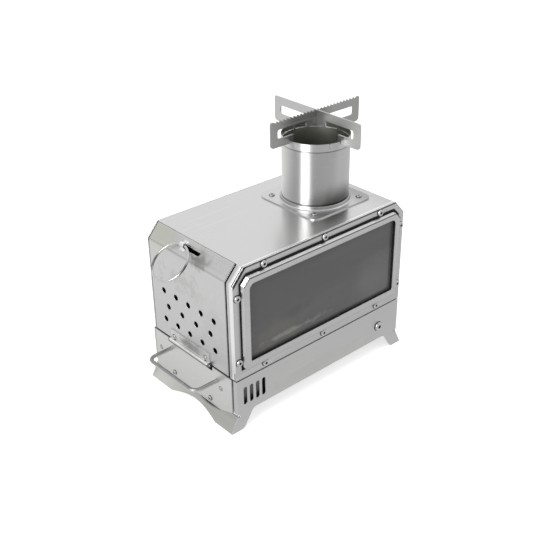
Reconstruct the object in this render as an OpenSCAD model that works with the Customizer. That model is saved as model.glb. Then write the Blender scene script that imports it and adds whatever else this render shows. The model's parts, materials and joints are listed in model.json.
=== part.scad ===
// Small camping wood stove of folded stainless sheet, with a glass window,
// a feed door, an ash drawer, a short flue and a lift-off cross pot stand.
// The window faces -Y, the feed door and the drawer face -X, and z = 0 is the floor.

/* [Body] */
// Length of the body between its two end faces
body_l = 235; // [200:1:280]
// Depth of the base, front face to rear face
base_d = 138; // [120:1:170]
// Height of the top plate above the floor
body_h = 183.5; // [160:0.5:220]
// Height of the seam between base and firebox
seam_z = 60.2; // [52:0.2:70]
// How far the firebox's rear panel sits in front of the base's rear face
rear_inset = 3; // [0:0.5:8]
// Run of the top corner chamfer along X
chamfer_x = 13.5; // [8:0.5:20]
// Drop of the top corner chamfer along Z
chamfer_z = 15; // [8:0.5:22]
// Thickness of the body sheet
sheet_t = 1.2; // [0.8:0.1:1.8]
// Outer radius of a sheet fold
fold_r = 2; // [1.9:0.1:3]
// Thickness of the deck plate that shows as the dark seam
deck_t = 1.4; // [1:0.1:2.4]
// How far the deck's edge lies behind the panels' faces
deck_recess = 1; // [0.3:0.1:1.1]

/* [Feet] */
// How far the feet flare out past each end face
foot_flare = 8; // [4:0.5:14]
// Height of the straight lower edge of the front and rear panels
skirt_z = 20.2; // [16:0.2:26]
// Height at which the slanted foot edge starts
foot_top = 18; // [14:0.5:20]
// Width of a foot's sole along X
foot_sole = 16; // [10:0.5:24]
// Width of the slope between sole and lower edge
foot_slope = 13; // [8:0.5:20]
// Radius of the relief hole above each foot
relief_r = 1.9; // [1:0.1:2.5]
// Width of the low arch under each end
arch_w = 74; // [50:1:90]
// Height of the low arch under each end
arch_h = 6.6; // [5.4:0.2:8]
// Height at which the end sheets bend out to the feet
bend_z = 11.1; // [9:0.1:13]

/* [Window] */
// Space from the body's end face to the raised frame's side
frame_side = 9.6; // [9.2:0.2:14]
// Space from the top plate to the raised frame
frame_top = 10.5; // [10:0.5:16]
// Space from the deck to the raised frame
frame_bottom = 11.9; // [11:0.1:18]
// Width of the raised frame's face
frame_face = 6.8; // [5:0.2:10]
// How far the raised frame stands proud of the front panel
frame_proud = 4.7; // [3.6:0.1:7]
// Thickness of the window frame and retainer sheet
frame_t = 1; // [0.8:0.1:1.4]
// Gap between front panel and raised frame, at the sides and below
frame_gap = 2.4; // [1.6:0.1:2.8]
// Gap between front panel and raised frame, above
frame_gap_top = 3.5; // [2:0.1:3.7]
// How far the seal in that gap lies below the front panel's face
seal_sink = 0.1; // [0.05:0.05:0.4]
// Width of the open seam between the top sheet and the front panel
top_seam = 0.7; // [0.3:0.1:1.2]
// Corner radius of the glass opening, above
glass_r_top = 6; // [2:0.5:10]
// Corner radius of the glass opening, below
glass_r_low = 2; // [1:0.5:6]
// Thickness of the glass
glass_t = 3; // [2:0.5:3]
// Height of a window screw above the deck, lower row
screw_low = 5.6; // [4.6:0.1:6]
// Drop of a window screw below the top plate, upper row
screw_high = 4.6; // [4.5:0.1:5.2]
// Distance of the outer window screws from the end faces
screw_side = 4.5; // [4.5:0.1:5]
// Spacing of the window screws along X
screw_pitch = 80; // [60:1:84]
// Height of the lower side screw above the deck
side_screw_low = 20.4; // [16:0.2:28]
// Distance from the chamfer's foot down to the upper side screws
side_screw_high = 14.9; // [6:0.1:24]
// Radius of a button screw's head
head_r = 3.7; // [3:0.1:3.8]
// Height of a button screw's head
head_h = 2.3; // [1.5:0.1:3]
// Radius of a screw's shank
shank_r = 1.5; // [1:0.1:1.6]
// Radial clearance of a screw in its hole
hole_play = 0.1; // [0.05:0.05:0.3]

/* [Feed door] */
// Width of the front panel's return beside the door
jamb_front = 8; // [6:0.1:14]
// Gap between the door and that return
door_gap = 2.2; // [1:0.1:3]
// Gap between the door and the rear panel
door_gap_rear = 1.2; // [0.8:0.1:3]
// Gap above the door, along the chamfer
door_top_gap = 0.4; // [0.3:0.1:2]
// Gap between the door and the deck below it
door_low_gap = 0.5; // [0.4:0.1:1.5]
// Thickness of the door sheet
door_t = 1; // [0.8:0.1:1.4]
// Depth of the door's turned-in side edges
door_hem = 7; // [4:0.5:10]
// Radius of an air hole
vent_r = 3.4; // [2:0.1:4.5]
// Spacing of the air holes along a row of five
vent_pitch = 20.4; // [17:0.1:22]
// Spacing of the air holes along the row of four
vent_pitch_mid = 23; // [18:0.5:26]
// Spacing of the rows of air holes
vent_row = 17; // [14:0.5:20]
// Height of the middle row of air holes above the deck
vent_z = 37.7; // [34:0.1:44]
// Distance from door centre to the air holes' centre
vent_shift = 0.25; // [-3:0.25:3]

/* [Hinge] */
// Distance from door centre to hinge centre
hinge_shift = 0.95; // [-4:0.05:4]
// Width of the hinge leaf
leaf_w = 64; // [40:1:80]
// Height of the hinge leaf above the pin
leaf_h = 12.8; // [10:0.2:18]
// Sheet thickness of leaf and bracket, also the wall of the rolled barrel
leaf_t = 1.2; // [1:0.1:1.6]
// Radius of the hinge pin
pin_r = 1.15; // [0.9:0.05:1.4]
// Running clearance of the barrel on its pin
pin_play = 0.05; // [0.02:0.01:0.1]
// Height of the pin above the top of the base
pin_rise = 1.3; // [0.9:0.1:1.6]
// Side clearance between barrel and bracket ears
ear_play = 0.4; // [0.3:0.1:1]
// Radius of the leaf rivets' heads
rivet_r = 2.7; // [1.6:0.1:3.2]
// Spacing of the leaf rivets
rivet_pitch = 52; // [30:1:56]

// Length of the hinge bracket's plate on the deck
bracket_l = 14; // [10:1:20]
// How far the bracket's ears reach back under the deck
bracket_arm = 8; // [5:0.5:12]

/* [Pull ring] */
// Distance from door centre to the ring lug
lug_shift = 10.25; // [6:0.25:16]
// Distance of the lug from the top fold, down the chamfer
lug_down = 9; // [8:0.2:11]
// Radius of the ring at its wire's centre
ring_r = 21; // [15:0.5:26]
// Radius of the ring's wire
ring_wire = 1.1; // [0.8:0.1:1.4]
// Height of the ring's wire above the chamfer, inside the lug
ring_lift = 2.2; // [2:0.1:3]
// Slope of the ring below level at rest
ring_slope = 39; // [20:1:45]
// Width of the lug strap
lug_w = 6; // [4:0.5:8]
// Thickness of the lug strap
lug_t = 0.9; // [0.6:0.1:1.2]
// Inner radius of the lug's loop
lug_r = 1.75; // [1.6:0.05:2]
// Length of the slot beside the lug
slot_l = 29; // [20:0.5:36]
// Width of the slot beside the lug
slot_w = 5.6; // [4:0.2:6]

/* [Ash drawer] */
// Width of the base front panel's return beside the drawer
drawer_jamb = 3.8; // [3:0.1:6]
// Gap between the drawer front and that return
drawer_gap = 2.1; // [1:0.1:4]
// Gap between the drawer front and the base's rear panel
drawer_gap_rear = 0.6; // [0.4:0.1:4]
// Lower edge of the drawer front
drawer_z = 11.5; // [11.3:0.1:14]
// Run of the drawer front's cut lower corners
drawer_cut_y = 22; // [10:1:30]
// Rise of the drawer front's cut lower corners
drawer_cut_z = 7; // [4:0.5:9]
// Width of the notch in the drawer front under the hinge
notch_w = 70; // [69:0.5:90]
// Depth of the notch in the drawer front under the hinge
notch_h = 5.4; // [4:0.1:7]
// Length of the ash tray
tray_l = 190; // [140:1:196]
// Height of the ash tray's walls
tray_h = 30; // [28:1:31]
// Wall of the ash tray
tray_t = 0.8; // [0.6:0.1:1.2]
// Clearance of the tray above the base floor and beside the panels
tray_play = 0.3; // [0.2:0.05:0.6]
// Space from the base's side panels to the tray
tray_side = 4.4; // [4.2:0.2:7]
// Spacing of the two handle legs
handle_w = 78; // [50:1:90]
// Distance from the drawer's face to the handle's centre line
handle_reach = 28.2; // [20:0.1:34]
// Height of the handle above the floor
handle_z = 46.3; // [40:0.1:50]
// Radius of the handle's wire
handle_wire = 2.1; // [1:0.1:2.2]
// Inside bend of the handle's two corners, to the wire's centre
handle_bend = 8; // [5:0.5:14]
// Spacing of the two drawer screws
drawer_screw_pitch = 61; // [40:1:70]
// Height of the drawer screws above the floor
drawer_screw_z = 18; // [17:0.2:18.4]
// Length of the two slits along the drawer front's lower edge
slit_l = 30; // [15:1:32]
// Height of the two slits
slit_h = 1.8; // [1:0.1:2.5]
// Height of the two rivets that hold the tray to the drawer front
tray_rivet_z = 39.7; // [30:0.1:44]
// Spacing of those two rivets
tray_rivet_pitch = 101.5; // [70:0.5:106]
// Radius of a tray rivet's head
tray_rivet_r = 2.2; // [1.6:0.1:3]

/* [Base] */
// Number of vent slots at the front left corner
base_vents = 4; // [2:1:5]
// Width of a vent slot
base_vent_w = 4.6; // [3:0.2:5]
// Height of a vent slot
base_vent_h = 21; // [12:1:24]
// Spacing of the vent slots
base_vent_pitch = 8; // [7:0.2:10]
// Distance of the first vent slot from the end face
base_vent_x = 11; // [9:0.5:20]
// Lower end of the vent slots
base_vent_z = 29; // [26:0.5:32]
// Distance of the base screw from the right end face
base_screw_x = 31; // [20:1:50]
// Height of the base screw
base_screw_z = 37; // [30:1:45]

/* [Grate] */
// Length of the fire grate
grate_l = 186; // [140:1:198]
// Depth of the fire grate
grate_d = 96; // [70:1:104]
// Thickness of the fire grate
grate_t = 1.5; // [1:0.1:3]
// Height of the grate's upturned side rails
grate_rail = 7; // [4:0.5:12]
// Ledge of the deck that carries the grate
grate_ledge = 5; // [3:0.5:10]
// Number of slot rows across the grate's length
grate_slots = 12; // [8:1:12]
// Width of a grate slot
grate_slot_w = 3.8; // [2.5:0.1:3.9]

/* [Flue] */
// Distance from the body's centre to the flue, along X
flue_x = 51.5; // [30:0.5:60]
// Outer radius of the flue pipe
flue_r = 35.5; // [28:0.5:40]
// Wall of the flue pipe
flue_t = 1; // [0.8:0.1:1.5]
// Height of the pipe's rim above the floor
rim_z = 255.5; // [235:0.5:265]
// Height of the band round the rim
band_h = 8; // [5:0.5:12]
// Thickness of the band round the rim
band_t = 0.7; // [0.4:0.1:1.2]
// Width of the butt joint in the band
band_joint = 0.8; // [0.4:0.1:2]
// Direction of the band's joint, in degrees from +X
band_turn = 249; // [0:1:359]
// Width of the square flange plate
flange_w = 86; // [80:1:92]
// Corner radius of the flange plate
flange_corner = 9; // [4:0.5:14]
// Thickness of the flange plate
flange_t = 1.2; // [0.8:0.1:2]
// Height of the flange's raised collar
collar_h = 4; // [2.5:0.5:8]
// Wall of the collar, with its rolled foot
collar_t = 1.6; // [1:0.1:2]
// Spacing of the flange screws
flange_pitch = 65; // [62:0.5:70]
// How far the pipe reaches below the top plate
spigot = 3; // [2:0.5:6]

// How far the pipe's own edge lies below the band's rim
rim_step = 5.9; // [3:0.1:7]

/* [Pot stand] */
// Height of the pot stand's top above the rim
stand_rise = 24.5; // [18:0.5:40]
// Length of each pot stand plate
stand_l = 124; // [100:1:140]
// Thickness of a pot stand plate
stand_t = 1.5; // [1:0.1:2.5]
// Height of a plate at its outer ends
stand_end = 26.8; // [24.9:0.1:32]
// Width of the end posts
stand_post = 9; // [6:0.5:12]
// Height of the bar above a window
stand_bar = 8.8; // [6:0.2:10]
// Height of the arm below a window
stand_arm = 8.6; // [6:0.2:10]
// Half the width of the deeper part where the plates cross
stand_web = 14; // [10:0.5:20]
// Height of the plates where they cross
stand_mid = 15.5; // [12:0.5:18]
// Inner end of the arms that lie on the rim, from the flue's centre
stand_tip = 31.5; // [28:0.5:33]
// Depth of the arms' hooks below the rim
stand_drop = 8; // [3:0.5:14]
// Clearance of the plates in the flue and over its rim
stand_play = 0.3; // [0.2:0.1:0.8]
// Clearance of the two crossed slots
cross_play = 0.15; // [0.05:0.05:0.3]
// Number of saw teeth along the toothed plate
stand_teeth = 25; // [15:1:31]
// Depth of a saw tooth
tooth_h = 1.5; // [0.8:0.1:2.5]
// Turn of the pot stand on the flue, in degrees
stand_turn = 0; // [-20:1:20]

/* [Hidden] */
$fn = 48;

// Corner points and levels that several pieces share
end_x = body_l / 2;
front_y = -base_d / 2;
rear_y = base_d / 2;
fire_rear_y = rear_y - rear_inset;
deck_top = seam_z + deck_t;
in_front = front_y + sheet_t;
in_rear = rear_y - sheet_t;
fire_in_rear = fire_rear_y - sheet_t;
under_top = body_h - sheet_t;
// The origin is under the middle of the whole stove, handle and feet included
handle_out = handle_reach + handle_wire;
shift_x = (handle_out - foot_flare) / 2;
shift_y = frame_proud / 2;
// Unit vector down the left chamfer, and the one that points out of it
chamfer_dir = [-chamfer_x, -chamfer_z] / norm([chamfer_x, chamfer_z]);
chamfer_out = [chamfer_dir[1], -chamfer_dir[0]];
chamfer_top = [-end_x + chamfer_x, body_h];
chamfer_low = [-end_x, body_h - chamfer_z];
// Door
door_y0 = in_front + jamb_front + door_gap;
door_y1 = fire_in_rear - door_gap_rear;
door_mid = (door_y0 + door_y1) / 2;
door_z0 = deck_top + door_low_gap;
door_path = [chamfer_top, chamfer_low, [-end_x, door_z0]];
// Hinge
barrel_r = pin_r + pin_play + leaf_t;
pin_x = -end_x - barrel_r;
pin_z = seam_z + pin_rise;
hinge_y = door_mid + hinge_shift;
ear_y = leaf_w / 2 + ear_play;
ear_r = barrel_r - 0.4;
pin_over = 0.4;
// Pull ring
lug_y = door_mid + lug_shift;
ring_pivot = chamfer_top + lug_down * chamfer_dir + ring_lift * chamfer_out;
// Window
frame_half = end_x - frame_side;
frame_z0 = deck_top + frame_bottom;
frame_z1 = body_h - frame_top;
frame_cut = frame_top - 3.5;
glass_y = front_y + sheet_t + frame_t - glass_t;
flange_back = in_front + frame_t;
retainer_back = flange_back + frame_t + 0.2;
nut_h = 2.4;
nut_flat = 5.4;
// Drawer
drawer_y0 = in_front + drawer_jamb + drawer_gap;
drawer_y1 = in_rear - drawer_gap_rear;
tray_y0 = in_front + tray_side;
tray_y1 = in_rear - tray_side;
floor_z = skirt_z - 0.6;
tray_z = floor_z + sheet_t + tray_play;
tray_x0 = -end_x + sheet_t;
handle_y = 1.5;
drawer_screw_y = (drawer_y0 + drawer_y1) / 2 + 2.85;
tray_rivet_y = drawer_screw_y + 1.75;
gusset_slope = (drawer_z + drawer_cut_z - 0.2 - bend_z) / drawer_cut_y;
tray_lip = 4.8;
lip_y0 = min(drawer_y0 + drawer_cut_y, drawer_screw_y - drawer_screw_pitch / 2 - 3);
lip_y1 = max(drawer_y1 - drawer_cut_y, drawer_screw_y + drawer_screw_pitch / 2 + 3);
// Flue
flue_y = (front_y + fire_rear_y) / 2 - 0.5;
flue_in = flue_r - flue_t;
stand_z = rim_z + stand_rise;
// Longer than anything that is cut through
through = 60;
flange_z = body_h + flange_t;
// Grate
grate_x = 2;
grate_y = (front_y + fire_rear_y) / 2 + 3;
grate_z = deck_top + 0.3;

function unit(v) = v / norm(v);
function left_of(v) = [-v[1], v[0]];
// Points of the arc that rounds corner b between a and c with radius r
function corner_arc(a, b, c, r, n = 4) =
    let (u = unit(a - b), v = unit(c - b), half = acos(u * v) / 2,
         o = b + r / sin(half) * unit(u + v),
         s = b + r / tan(half) * u - o,
         e = b + r / tan(half) * v - o,
         a0 = atan2(s[1], s[0]),
         turn = (atan2(e[1], e[0]) - a0 + 540) % 360 - 180)
    [for (i = [0:n]) o + r * [cos(a0 + turn * i / n), sin(a0 + turn * i / n)]];
// An open path with its inner corners rounded
function folded(pts, r) = concat(
    [pts[0]],
    [for (i = [1:len(pts) - 2]) each corner_arc(pts[i - 1], pts[i], pts[i + 1], r)],
    [pts[len(pts) - 1]]);
// A closed outline with its corners rounded, one radius each, 0 for a sharp one
function rounded(pts, radii) =
    let (n = len(pts))
    [for (i = [0:n - 1]) each radii[i] == 0 ? [pts[i]]
        : corner_arc(pts[(i + n - 1) % n], pts[i], pts[(i + 1) % n], radii[i])];
// Mitred shift of one point by d to the left of its path
function mitre(a, b, c, d) =
    let (p = left_of(unit(b - a)), q = left_of(unit(c - b)))
    b + d * (p + q) / (1 + p * q);
// An open path moved d to its left
function beside(pts, d) =
    let (n = len(pts))
    [for (i = [0:n - 1]) i == 0 ? pts[0] + d * left_of(unit(pts[1] - pts[0]))
        : i == n - 1 ? pts[i] + d * left_of(unit(pts[i] - pts[i - 1]))
        : mitre(pts[i - 1], pts[i], pts[i + 1], d)];
// A closed outline, drawn anticlockwise, shrunk by d
function shrunk(pts, d) =
    let (n = len(pts))
    [for (i = [0:n - 1]) mitre(pts[(i + n - 1) % n], pts[i], pts[(i + 1) % n], d)];
function reversed(pts) = [for (i = [len(pts) - 1:-1:0]) pts[i]];
function box_points(x0, y0, x1, y1) = [[x0, y0], [x1, y0], [x1, y1], [x0, y1]];
// The firebox's end-on outline, drawn anticlockwise from its lower left corner
function fire_outline(z0) = [
    [-end_x, z0], [end_x, z0], [end_x, body_h - chamfer_z], [end_x - chamfer_x, body_h],
    chamfer_top, chamfer_low];
// The raised window frame's outline, shrunk by d
function frame_outline(d) = shrunk([
    [-frame_half, frame_z0], [frame_half, frame_z0], [frame_half, frame_z1 - frame_cut],
    [frame_half - frame_cut, frame_z1], [-frame_half + frame_cut, frame_z1],
    [-frame_half, frame_z1 - frame_cut]], d);
function glass_outline(d) = rounded(
    box_points(-frame_half + frame_face + d, frame_z0 + frame_face + d,
               frame_half - frame_face - d, frame_z1 - frame_face - d),
    [glass_r_low, glass_r_low, glass_r_top, glass_r_top]);

module placed() translate([shift_x, shift_y, 0]) children();
// A flat XZ shape given a thickness from y0 to y1
module along_y(y0, y1)
    translate([0, y1, 0]) rotate([90, 0, 0]) linear_extrude(height = y1 - y0) children();
// A flat YZ shape given a thickness from x0 to x1
module along_x(x0, x1)
    translate([x0, 0, 0]) rotate([90, 0, 90]) linear_extrude(height = x1 - x0) children();
// Folded sheet: the path is its outer face, and the sheet lies d to the left of it
module sheet(path, d, y0, y1, r = fold_r)
    along_y(y0, y1) polygon(concat(folded(path, r), reversed(beside(folded(path, r), d))));
// The same for an edge deeper than the fold's radius: its inner side keeps a sharp corner
module deep_sheet(path, d, y0, y1, r = fold_r)
    along_y(y0, y1) polygon(concat(folded(path, r), reversed(beside(path, d))));
// A shape that lies on the left chamfer: X runs down it, Y along the stove, Z out of it
module on_chamfer(down, y, out = 0)
    translate([chamfer_top[0], y, chamfer_top[1]])
        rotate([0, atan2(-chamfer_dir[1], chamfer_dir[0]), 0])
            translate([down, 0, -out]) mirror([0, 0, 1]) children();
module drill_y(x, z, r) translate([x, front_y - 20, z]) rotate([-90, 0, 0]) cylinder(r = r, h = through);

// Button-head socket screw along +Y, its head's seat at the origin
module button_screw(r, h, shank, l) rotate([-90, 0, 0]) {
    difference() {
        rotate_extrude() polygon(concat([[0, 0]],
            [for (i = [0:6]) [r * cos(i * 15), -h * (0.25 + 0.75 * sin(i * 15)) * (i == 0 ? 0 : 1)]]));
        translate([0, 0, -h - 1]) cylinder(r = r * 0.36, h = h * 0.55 + 1, $fn = 6);
    }
    cylinder(r = shank, h = l, $fn = 24);
}
// Hexagon nut along +Y, with its flats facing X
module hex_nut(flat, h, bore) rotate([-90, 0, 0]) difference() {
    rotate([0, 0, 30]) cylinder(r = flat / sqrt(3), h = h, $fn = 6);
    translate([0, 0, -1]) cylinder(r = bore, h = h + 2, $fn = 24);
}
// Places of the ten window screws, as [x, z]
window_screw_spots = concat(
    [for (i = [-1:1]) [i * screw_pitch, body_h - screw_high]],
    [for (i = [-1:1]) [i * screw_pitch, deck_top + screw_low]],
    [for (s = [-1, 1]) for (z = [deck_top + side_screw_low, body_h - chamfer_z - side_screw_high])
        [s * (end_x - screw_side), z]]);
module window_holes() for (s = window_screw_spots) drill_y(s[0], s[1], shank_r + hole_play);

// Top, right chamfer and right end folded from one sheet, with the door's stop lip
module firebox_shell() color("gainsboro") placed() {
    difference() {
        sheet([chamfer_top, [end_x - chamfer_x, body_h], [end_x, body_h - chamfer_z],
               [end_x, deck_top]], -sheet_t, in_front + top_seam, fire_in_rear);
        translate([flue_x, flue_y, body_h - 10]) cylinder(r = flue_r + hole_play, h = 20);
        for (a = [-1, 1]) for (b = [-1, 1])
            translate([flue_x + a * flange_pitch / 2, flue_y + b * flange_pitch / 2, body_h - 10])
                cylinder(r = shank_r + hole_play, h = 20, $fn = 24);
    }
    door_stop();
}
// Lip welded under the top plate, which the closed door's chamfer meets
module door_stop() {
    back = door_t + 0.3;
    knee = [chamfer_top[0] + (back + sheet_t * chamfer_out[1]) / -chamfer_out[0], under_top];
    sheet([knee + 9 * chamfer_dir, knee, knee + [14, 0]], -sheet_t,
          door_y0 + door_t + 1.5, door_y1 - door_t - 1.5);
}
// Front panel with the window's opening and the return that makes the door's front jamb
module front_panel() color("silver") placed() difference() {
    union() {
        along_y(front_y, in_front) difference() {
            polygon(rounded(fire_outline(deck_top), [0, 0, fold_r, fold_r, fold_r, fold_r]));
            polygon(shrunk(frame_opening(), -frame_gap));
        }
        jamb(in_front, in_front + jamb_front);
    }
    window_holes();
    // relief cuts where the return is bent: one at its foot and one along the chamfer
    translate([-end_x - 1, in_front, deck_top - 1]) cube([sheet_t + 2, 1.4, 10]);
    translate([-end_x - 1, in_front, body_h - chamfer_z - 2])
        cube([chamfer_x + sheet_t + 1, 0.9, chamfer_z + 3]);
}
function frame_opening() = [
    [-frame_half, frame_z0], [frame_half, frame_z0],
    [frame_half, frame_z1 + frame_gap_top - frame_gap - frame_cut],
    [frame_half - frame_cut, frame_z1 + frame_gap_top - frame_gap],
    [-frame_half + frame_cut, frame_z1 + frame_gap_top - frame_gap],
    [-frame_half, frame_z1 + frame_gap_top - frame_gap - frame_cut]];
// Return beside the door, cut back where the top plate's edge meets it
module jamb(y0, y1) difference() {
    sheet([chamfer_top, chamfer_low, [-end_x, deck_top]], sheet_t, y0, y1);
    translate([chamfer_top[0], y0 - 1, under_top]) cube([5, y1 - y0 + 2, 5]);
}
module rear_panel() color("silver") placed()
    along_y(fire_in_rear, fire_rear_y)
        polygon(rounded(fire_outline(deck_top), [0, 0, fold_r, fold_r, fold_r, fold_r]));
// Woven seal in the gap round the raised frame, on the frame's flange
module frame_seal() color("black") placed() along_y(front_y + seal_sink, in_front) difference() {
    polygon(shrunk(frame_opening(), -frame_gap + 0.05));
    polygon(frame_outline(-0.05));
}
// Pressed frame: a raised face, a wall round it, and a flange behind the front panel
module window_frame() color("lightgray") placed() difference() {
    union() {
        along_y(front_y - frame_proud, front_y - frame_proud + frame_t)
            polygon(rounded(frame_outline(0), [1.5, 1.5, 1.5, 1.5, 1.5, 1.5]));
        along_y(front_y - frame_proud + frame_t, flange_back) difference() {
            polygon(rounded(frame_outline(0), [1.5, 1.5, 1.5, 1.5, 1.5, 1.5]));
            polygon(frame_outline(frame_t));
        }
        along_y(in_front, flange_back) difference() {
            polygon(shrunk(fire_outline(deck_top), sheet_t + 0.6));
            polygon(frame_outline(frame_t));
        }
    }
    along_y(front_y - frame_proud - 1, in_front) polygon(glass_outline(0));
    window_holes();
}
module glass_gasket() color("black") placed()
    along_y(front_y - frame_proud + frame_t, glass_y) difference() {
        polygon(frame_outline(frame_t + 0.2));
        polygon(glass_outline(0.3));
    }
module window_glass() color([0.25, 0.26, 0.27, 0.6]) placed()
    along_y(glass_y, flange_back) polygon(frame_outline(frame_t + 0.4));
module window_retainer() color("darkgray") placed() difference() {
    along_y(flange_back, retainer_back) difference() {
        polygon(shrunk(fire_outline(deck_top), sheet_t + 0.8));
        polygon(glass_outline(2));
    }
    window_holes();
}
module window_screws() color("whitesmoke") placed()
    for (s = window_screw_spots) translate([s[0], front_y, s[1]])
        button_screw(head_r, head_h, shank_r, retainer_back - front_y + nut_h + 0.6);
module window_nuts() color("darkgray") placed()
    for (s = window_screw_spots) translate([s[0], retainer_back, s[1]])
        rotate([0, abs(s[0]) > screw_pitch * 1.2 ? 0 : 90, 0]) hex_nut(nut_flat, nut_h, shank_r);

// Deck between base and firebox, with the opening that the grate covers
module deck_plate() color("dimgray") placed() difference() {
    translate([-end_x + sheet_t + 1, front_y + deck_recess, seam_z])
        cube([body_l - sheet_t - 1 - deck_recess, base_d - 2 * deck_recess, deck_t]);
    translate([grate_x - grate_l / 2 + grate_ledge, grate_y - grate_d / 2 + grate_ledge, seam_z - 1])
        cube([grate_l - 2 * grate_ledge, grate_d - 2 * grate_ledge, deck_t + 2]);
}
// Slotted grate with upturned sides
module fire_grate() color("gray") placed() translate([grate_x, grate_y, grate_z]) {
    pitch = (grate_l - 2 * grate_ledge - 6) / grate_slots;
    slot_d = grate_d / 2 - grate_ledge - 6;
    difference() {
        translate([-grate_l / 2, -grate_d / 2, 0]) cube([grate_l, grate_d, grate_t]);
        for (i = [0:grate_slots - 1]) for (s = [-1, 1])
            translate([(i - (grate_slots - 1) / 2) * pitch - grate_slot_w / 2,
                       s > 0 ? 3 : -3 - slot_d, -1])
                cube([grate_slot_w, slot_d, grate_t + 2]);
    }
    for (s = [-1, 1]) translate([-grate_l / 2, s > 0 ? grate_d / 2 - grate_t : -grate_d / 2, grate_t])
        cube([grate_l, grate_t, grate_rail - grate_t]);
}

// Feed door: the left end and its chamfer, with turned-in sides and fourteen air holes
module feed_door() color("gainsboro") placed() difference() {
    union() {
        sheet(door_path, door_t, door_y0, door_y1);
        deep_sheet(door_path, door_hem, door_y0, door_y0 + door_t);
        deep_sheet(door_path, door_hem, door_y1 - door_t, door_y1);
    }
    translate([chamfer_top[0] - door_top_gap, -base_d, under_top - door_top_gap])
        cube([chamfer_x, 2 * base_d, chamfer_z]);
    for (row = [-1, 1]) for (i = [-2:2]) air_hole(i * vent_pitch, row * vent_row);
    for (i = [-1.5:1.5]) air_hole(i * vent_pitch_mid, 0);
    on_chamfer(lug_down, lug_y + lug_w / 2 - slot_l / 2 + 1) slot_cutter(slot_w / 2, slot_l);
    for (s = [-1, 1]) translate([-end_x - 5, hinge_y + s * rivet_pitch / 2, rivet_z()])
        rotate([0, 90, 0]) cylinder(r = rivet_r / 2 + hole_play, h = 10, $fn = 24);
}
module air_hole(y, z) translate([-end_x - 5, door_mid + vent_shift + y, deck_top + vent_z + z])
    rotate([0, 90, 0]) cylinder(r = vent_r, h = 10);
module slot_cutter(r, l) {
    for (s = [-1, 1]) translate([0, s * (l / 2 - r), -6]) cylinder(r = r, h = 12);
    translate([-r, -l / 2 + r, -6]) cube([2 * r, l - 2 * r, 12]);
}
function rivet_z() = pin_z + barrel_r + rivet_r + 0.2;
// Hinge leaf: a plate on the door's outside, rolled to a barrel at its lower edge
module hinge_leaf() color("lightgray") placed() difference() {
    union() {
        along_y(hinge_y - leaf_w / 2, hinge_y + leaf_w / 2) {
            translate([-end_x - leaf_t, pin_z]) square([leaf_t, leaf_h]);
            translate([pin_x, pin_z]) circle(r = barrel_r);
        }
    }
    translate([pin_x, hinge_y - leaf_w, pin_z]) rotate([-90, 0, 0])
        cylinder(r = pin_r + pin_play, h = 2 * leaf_w);
    for (s = [-1, 1]) translate([-end_x - 5, hinge_y + s * rivet_pitch / 2, rivet_z()])
        rotate([0, 90, 0]) cylinder(r = rivet_r / 2, h = 10, $fn = 24);
}
module leaf_rivets() color("whitesmoke") placed()
    for (s = [-1, 1]) translate([-end_x - leaf_t, hinge_y + s * rivet_pitch / 2, rivet_z()])
        rotate([0, -90, 0]) {
            rotate_extrude() polygon(concat([[0, 0]],
                [for (i = [0:5]) [rivet_r * cos(i * 18), 1.2 * sin(i * 18)]]));
            translate([0, 0, -leaf_t - door_t - 0.8])
                cylinder(r = rivet_r / 2, h = leaf_t + door_t + 0.8, $fn = 24);
            translate([0, 0, -leaf_t - door_t - 0.8]) cylinder(r = rivet_r * 0.8, h = 0.8, $fn = 24);
        }
// Bracket on the deck with two ears that reach out through the drawer front's notch
module hinge_bracket() color("darkgray") placed() difference() {
    union() {
        translate([-end_x + sheet_t + 1, hinge_y - ear_y - leaf_t, seam_z - leaf_t])
            cube([bracket_l, 2 * (ear_y + leaf_t), leaf_t]);
        for (s = [-1, 1]) along_y(hinge_y + s * (ear_y + leaf_t / 2) - leaf_t / 2,
                                  hinge_y + s * (ear_y + leaf_t / 2) + leaf_t / 2) {
            translate([pin_x, pin_z]) circle(r = ear_r);
            polygon([[pin_x, pin_z - ear_r], [-end_x + sheet_t + bracket_arm, seam_z - leaf_t - 2],
                     [-end_x + sheet_t + bracket_arm, seam_z - leaf_t], [-end_x + sheet_t, seam_z],
                     [-end_x + sheet_t, seam_z + 1], [pin_x, pin_z + pin_r]]);
        }
    }
    translate([pin_x, hinge_y - leaf_w, pin_z]) rotate([-90, 0, 0])
        cylinder(r = pin_r + 0.02, h = 2 * leaf_w);
}
module hinge_pin() color("dimgray") placed()
    translate([pin_x, hinge_y - ear_y - leaf_t - pin_over, pin_z]) rotate([-90, 0, 0])
        cylinder(r = pin_r, h = 2 * (ear_y + leaf_t + pin_over));

// Strap that holds the pull ring to the chamfer
module ring_lug() color("whitesmoke") placed() on_chamfer(lug_down, lug_y)
    rotate([90, 0, 0]) translate([0, 0, -lug_w / 2]) linear_extrude(height = lug_w) difference() {
        union() {
            translate([0, ring_lift]) circle(r = lug_r + lug_t);
            translate([-lug_r - lug_t, 0]) square([2 * (lug_r + lug_t), ring_lift]);
            translate([-lug_r - 4, 0]) square([2 * lug_r + 8, lug_t]);
        }
        translate([0, ring_lift]) circle(r = lug_r);
        translate([-lug_r, -1]) square([2 * lug_r, ring_lift + 1]);
    }
module pull_ring() color("whitesmoke") placed()
    translate([ring_pivot[0], lug_y, ring_pivot[1]]) rotate([0, -ring_slope, 0])
        translate([-ring_r, 0, 0]) rotate_extrude($fn = 72)
            translate([ring_r, 0]) circle(r = ring_wire, $fn = 20);

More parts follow.
